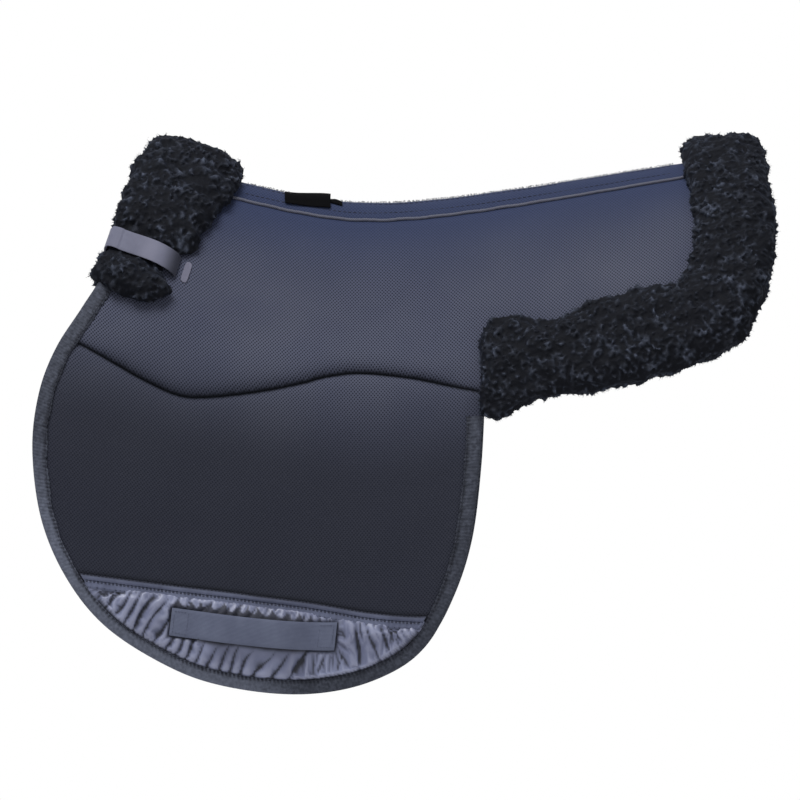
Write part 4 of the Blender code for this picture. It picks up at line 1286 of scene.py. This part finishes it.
# Wool: where the fleece leaves its solid, as (x, s, reach, moved along, moved down, moved out)
FRONT_PULLS = (
    (-0.212, 0.002, 0.060, -0.003, -0.006, 0.0120),
    (-0.165, 0.004, 0.050, 0.003, -0.003, 0.0070),
    (-0.244, 0.030, 0.036, -0.005, 0.0, 0.0),
    (-0.122, 0.004, 0.026, -0.005, 0.0, 0.0),
    (-0.140, 0.032, 0.028, 0.003, 0.006, 0.001),
    (-0.160, 0.092, 0.036, -0.006, 0.0, -0.001),
    (-0.186, 0.118, 0.024, 0.010, 0.003, 0.0),
    (-0.262, 0.124, 0.024, 0.005, 0.0, -0.002),
    (-0.200, 0.140, 0.024, 0.004, 0.0, 0.0),
    (-0.272, 0.170, 0.026, 0.0, -0.006, 0.0),
    (-0.222, 0.196, 0.026, 0.0, -0.004, 0.0),
    (-0.225, 0.194, 0.040, 0.0, -0.010, 0.0),
    (-0.205, 0.194, 0.036, 0.0, -0.007, 0.0),
)
REAR_PULLS = (
    (0.322, 0.002, 0.040, 0.002, -0.004, 0.0080),
    (0.364, 0.002, 0.036, 0.0, 0.0, 0.0030),
    (0.402, 0.010, 0.050, -0.004, 0.0, 0.0),
    (0.398, 0.070, 0.050, -0.003, 0.0, 0.0),
    (0.185, 0.183, 0.046, 0.0, 0.018, 0.0),
    (0.300, 0.170, 0.056, -0.009, -0.020, 0.0),
    (0.312, 0.150, 0.030, -0.005, -0.007, 0.0),
    (0.368, 0.250, 0.062, 0.006, 0.008, 0.0),
    (0.130, 0.264, 0.044, 0.0, 0.012, 0.0),
)


# Voxels of a fleece's skin, its inset, how far apart and long its locks are, voxels of the melted locks
ROLL_WOOL = {"voxel": 0.0032, "inset": 0.0016, "spacing": 0.0029, "length": 0.0080, "fine": 0.0013}
LINING_WOOL = {"voxel": 0.0050, "inset": 0.0036, "spacing": 0.0056, "length": 0.0120, "fine": 0.0028}
HAIR_SPACING_SHARE = 0.44
HAIR_LENGTH_SHARE = 0.40
# The five locks, as (how far each bends over, how far it swings aside)
LOCK_CURLS = ((1.8, 0.3), (2.5, -0.5), (1.4, 0.6), (3.0, 0.1), (2.1, -0.2))


def lock_shapes(name, steps, radius, taper):
    """Five curled locks of length 1: three-sided, bent over as they rise, thinner at the tip."""
    shelf = bpy.data.collections.new(name)
    for number, (bend, swing) in enumerate(LOCK_CURLS):
        bm = bmesh.new()
        tip = bm.verts.layers.float.new("tip")
        ring = bmesh.ops.create_circle(bm, segments=3, radius=radius, cap_ends=True)["verts"]
        for step in range(1, steps + 1):
            share = step / steps
            rim = [edge for edge in bm.edges if all(vert in ring for vert in edge.verts)]
            grown = bmesh.ops.extrude_edge_only(bm, edges=rim)["geom"]
            ring = [part for part in grown if isinstance(part, bmesh.types.BMVert)]
            lean = bend * share**1.3 if steps > 1 else bend * 0.35
            heading = Vector((math.sin(lean), math.sin(swing * share * 2) * 0.5, math.cos(lean))).normalized()
            bmesh.ops.translate(bm, verts=ring, vec=heading / steps)
            centre = sum((vert.co for vert in ring), Vector()) / 3
            for vert in ring:
                vert.co = centre + (vert.co - centre) * (1 - taper * share**2)
                vert[tip] = share
        bmesh.ops.pointmerge(bm, verts=ring, merge_co=centre)
        bmesh.ops.recalc_face_normals(bm, faces=bm.faces)
        mesh = to_mesh(f"{name}_{number}", bm, cloth["wool"])
        mesh.shade_smooth()
        shelf.objects.link(bpy.data.objects.new(f"{name}_{number}", mesh))
    return shelf


def tufting(shelf, spacing, length):
    """Nodes that set curled locks over a piece, leaning as its comb says, where its full says."""
    group = bpy.data.node_groups.new("tufting", "GeometryNodeTree")
    for way in ("INPUT", "OUTPUT"):
        group.interface.new_socket("Geometry", in_out=way, socket_type="NodeSocketGeometry")
    board = Board(group)

    def named(name, kind):
        return board.node("GeometryNodeInputNamedAttribute", {"data_type": kind}, {"Name": name})

    def chance(low, high, seed, kind="FLOAT"):
        first, output = (0, 0) if kind == "FLOAT_VECTOR" else (2, 1)
        values = {first: low, first + 1: high, "Seed": seed}
        return board.node("FunctionNodeRandomValue", {"data_type": kind}, values, output)

    start = board.node("NodeGroupInput", {}, {})
    points = board.node("GeometryNodeDistributePointsOnFaces", {"distribute_method": "POISSON"}, {
        "Mesh": start, "Distance Min": spacing, "Density Max": 1.2 / spacing**2,
        "Density Factor": named("full", "FLOAT"), "Seed": 3,
    })
    comb = {"Vector": named("comb", "FLOAT_VECTOR")}
    aligned = board.node("FunctionNodeAlignRotationToVector", {"axis": "Z"}, comb)
    turn = {"Axis": (0, 0, 1), "Angle": chance(0.0, 6.283, 5)}
    spin = board.node("FunctionNodeAxisAngleToRotation", {}, turn)
    turned = board.node("FunctionNodeRotateRotation", {"rotation_space": "LOCAL"}, {0: aligned, 1: spin})
    shapes = board.node("GeometryNodeCollectionInfo", {}, {
        "Collection": shelf, "Separate Children": True, "Reset Children": True,
    })
    locks = board.node("GeometryNodeInstanceOnPoints", {}, {
        "Points": points, "Instance": shapes, "Pick Instance": True, "Rotation": turned,
        "Scale": chance((length * 0.62,) * 3, (length * 1.30,) * 3, 7, "FLOAT_VECTOR"),
    })
    join = group.nodes.new("GeometryNodeJoinGeometry")
    board.put(join.inputs[0], start)
    board.put(join.inputs[0], board.node("GeometryNodeRealizeInstances", {}, {0: locks}))
    group.links.new(join.outputs[0], group.nodes.new("NodeGroupOutput").inputs[0])
    return group


def solid_swirl(points, wavelength, seed):
    """A smooth random vector field, each component about -1 to 1."""
    rng = np.random.default_rng(seed)
    total = np.zeros_like(points)
    for _ in range(10):
        way = rng.normal(size=3)
        way *= 2 * math.pi / wavelength / np.linalg.norm(way) * rng.uniform(0.7, 1.4)
        total += np.sin(points @ way + rng.uniform(0, 6.28))[:, None] * rng.normal(size=3)
    return total / 3.2


def pulled(points, pulls):
    """Moves the points near places of the pattern along, down and out of it, as a sculptor's hand does."""
    for x, s, reach, along, down, out in pulls:
        centre = drape(x, -s, 0.010)
        ways = (drape(x + 0.001, -s, 0.010), drape(x, -s - 0.001, 0.010), drape(x, -s, 0.011))
        move = sum((way - centre) * (amount / 0.001) for way, amount in zip(ways, (along, down, out)))
        near = ease(1 - np.linalg.norm(points - centre, axis=1) / reach)
        points = points + near[:, None] * move
    return points


def read_mesh(mesh):
    """The points of a mesh and their normals."""
    got = []
    for source, kind in ((mesh.vertices, "co"), (mesh.vertex_normals, "vector")):
        values = np.empty(len(mesh.vertices) * 3, np.float32)
        source.foreach_get(kind, values)
        got.append(values.reshape(-1, 3).astype(float))
    return got


def write_points(mesh, points):
    mesh.vertices.foreach_set("co", points.astype(np.float32).ravel())


def fleece(name, nodes, neighbours, shelves, pulls=(), *, voxel, inset, spacing, length, fine):
    """A fleece where solids are: a lumpy skin, curled locks melted into it, and thin hairs over them.

    A solid that crosses the spine is cut at its middle, so that its mirror image meets it there."""
    bm = bmesh.new()
    for node in nodes:
        bm.from_mesh(frame["nodes"][node].data)
    bmesh.ops.remove_doubles(bm, verts=bm.verts, dist=2e-6)
    cut = bmesh.ops.bisect_plane(bm, geom=bm.verts[:] + bm.edges[:] + bm.faces[:], plane_co=(0, 0, 0),
                                 plane_no=(0, 1, 0), clear_outer=True)
    rim = [part for part in cut["geom_cut"] if isinstance(part, bmesh.types.BMEdge)]
    bmesh.ops.holes_fill(bm, edges=rim, sides=0)
    made = to_piece(name, bm, cloth["wool"])
    modify(made, "REMESH", mode="VOXEL", voxel_size=voxel)
    modify(made, "SMOOTH", factor=0.6, iterations=5)
    settled(made, 180)
    mesh = made.data
    points, normals = read_mesh(mesh)
    lumps = solid_swirl(points, 0.017, 61)[:, :1] * 0.0012 + solid_swirl(points, 0.036, 62)[:, :1] * 0.0018
    moved = pulled(points - normals * (inset - lumps), pulls)
    crossing = points[:, 1] > -voxel * 0.8
    moved[crossing, 1] = 0.0
    write_points(mesh, moved)
    comb = 0.45 * normals + 0.85 * solid_swirl(points, 0.030, 63) + 0.35 * solid_swirl(points, 0.009, 64)
    comb = unit(comb)
    comb = unit(comb - normals * np.minimum((comb * normals).sum(1, keepdims=True) - 0.20, 0.0))
    full = np.zeros(len(points))
    for index, (point, normal, way) in enumerate(zip(moved, normals, comb)):
        start, normal, way = Vector(point), Vector(normal), Vector(way)
        raised = (way + normal * 1.5).normalized()
        if neighbours.ray_cast(start, normal, inset + length * 0.4)[0] is not None:
            continue
        for heading in (way, raised):
            if neighbours.ray_cast(start, heading, length)[0] is None:
                comb[index] = heading
                full[index] = 1.0
                break
    full[crossing & (normals[:, 1] > 0.8)] = 0.0
    mark(mesh, "comb", "FLOAT_VECTOR", comb)
    mark(mesh, "full", "FLOAT", full)
    skin = BVHTree.FromPolygons(moved.tolist(), [tuple(face.vertices) for face in mesh.polygons])
    found = KDTree(len(moved))
    for index, point in enumerate(moved):
        found.insert(point, index)
    found.balance()
    modify(made, "NODES", node_group=tufting(shelves[0], spacing, length))
    modify(made, "REMESH", mode="VOXEL", voxel_size=fine)
    modify(made, "SMOOTH", factor=0.5, iterations=3)
    settled(made, 180)
    mesh = made.data
    points, _ = read_mesh(mesh)
    points[:, 1] = np.minimum(points[:, 1], 0.0)
    write_points(mesh, points)
    rise = np.array([skin.find_nearest(point)[3] for point in points])
    home = np.array([found.find(point)[1] for point in points])
    tip = np.clip(rise / (length * 0.55), 0, 1)
    mark(mesh, "tip", "FLOAT", tip)
    mark(mesh, "comb", "FLOAT_VECTOR", comb[home])
    mark(mesh, "full", "FLOAT", full[home] * (tip > 0.25))
    hairs = tufting(shelves[1], spacing * HAIR_SPACING_SHARE, length * HAIR_LENGTH_SHARE)
    modify(made, "NODES", node_group=hairs)
    settled(made, 180)
    return made


def standing_tree(*stems):
    """Left pieces that the locks must not run through."""
    whole = bmesh.new()
    for stem in stems:
        whole.from_mesh(bpy.data.objects["left_" + stem].data)
    tree = BVHTree.FromBMesh(whole)
    whole.free()
    return tree


# Stage, light and camera
def make_stage():
    """A pale floor under a sky that looks white and gives less light than it looks."""
    bm = bmesh.new()
    bmesh.ops.create_grid(bm, x_segments=1, y_segments=1, size=FLOOR_HALF_SIZE)
    bmesh.ops.translate(bm, verts=bm.verts, vec=(0, 0, FLOOR))
    pale = Paint("pale_floor", Roughness=0.9, Base_Color=(0.86, 0.86, 0.87))
    to_piece("floor", bm, pale.material)
    world = bpy.data.worlds.new("studio")
    bpy.context.scene.world = world
    world.use_nodes = True
    board = Board(world.node_tree)
    board.tree.nodes.clear()
    camera, glossy, through = (board.node("ShaderNodeLightPath", {}, {}, f"Is {kind} Ray")
                               for kind in ("Camera", "Glossy", "Transmission"))
    seen = camera.maths("MAXIMUM", glossy.maths("MAXIMUM", through))
    dim, bright = (board.node("ShaderNodeBackground", {}, {"Strength": strength, "Color": (1, 1, 1)})
                   for strength in (SKY_LIGHT, 1.0))
    both = board.node("ShaderNodeMixShader", {}, {0: seen, 1: dim, 2: bright})
    board.put(board.tree.nodes.new("ShaderNodeOutputWorld").inputs[0], both)


def make_lamp(name, place, size, power):
    made = linked(name, set_all(bpy.data.lights.new(name, "AREA"), size=size, energy=power))
    made.location = place
    made.rotation_euler = (Vector(LAMP_TARGET) - Vector(place)).to_track_quat("-Z", "Y").to_euler()


def make_camera():
    lens = bpy.data.cameras.new("photo")
    made = linked("photo", lens)
    back = Vector((math.sin(CAMERA_TURN), -math.cos(CAMERA_TURN), 0.0))
    made.location = Vector(CAMERA_TARGET) + back * CAMERA_AWAY
    made.rotation_euler = (-back).to_track_quat("-Z", "Y").to_euler()
    lens.lens = lens.sensor_width * CAMERA_AWAY / FRAME_WIDTH
    lens.clip_end = 60.0
    bpy.context.scene.camera = made


def main():
    make_camera()
    make_stage()
    make_lamp("key", (-1.0, -1.5, 3.4), size=2.0, power=140.0)
    make_lamp("fill", (1.4, -3.8, 0.4), size=2.4, power=14.0)
    bpy.context.scene.view_settings.view_transform = "Standard"

    make_cover()
    make_fillings()
    make_lining()
    make_strip()
    make_fringe()
    make_strip_stitching()
    make_piping()
    make_label()
    make_binding()
    make_patch()
    make_hem()
    make_loop()
    make_strap()
    neighbours = standing_tree("cover", "strap_root_web", "billet_web", "strip", "binding", "lining", "felt",
                               "hooks")
    locks = lock_shapes("locks", steps=4, radius=0.17, taper=0.45)
    shelves = locks, lock_shapes("hairs", steps=1, radius=0.065, taper=0.5)
    for end, crown, pulls in (("front", "wither_roll", FRONT_PULLS), ("rear", "cantle_roll", REAR_PULLS)):
        nodes = [crown, f"left_{end}_roll"]
        made = fleece(f"left_{end}_fleece", nodes, neighbours, shelves, pulls, **ROLL_WOOL)
        fit(made, [crown, f"side_{end}_roll"], over_spine=STRIP_HALF_WIDTH)
    made = fleece("left_sheepskin", ["left_sheepskin_lining"], neighbours, shelves, **LINING_WOOL)
    fit(made, ["side_sheepskin_lining"])
    for shelf in shelves:
        for shape in list(shelf.objects):
            bpy.data.objects.remove(shape)
        bpy.data.collections.remove(shelf)


main()
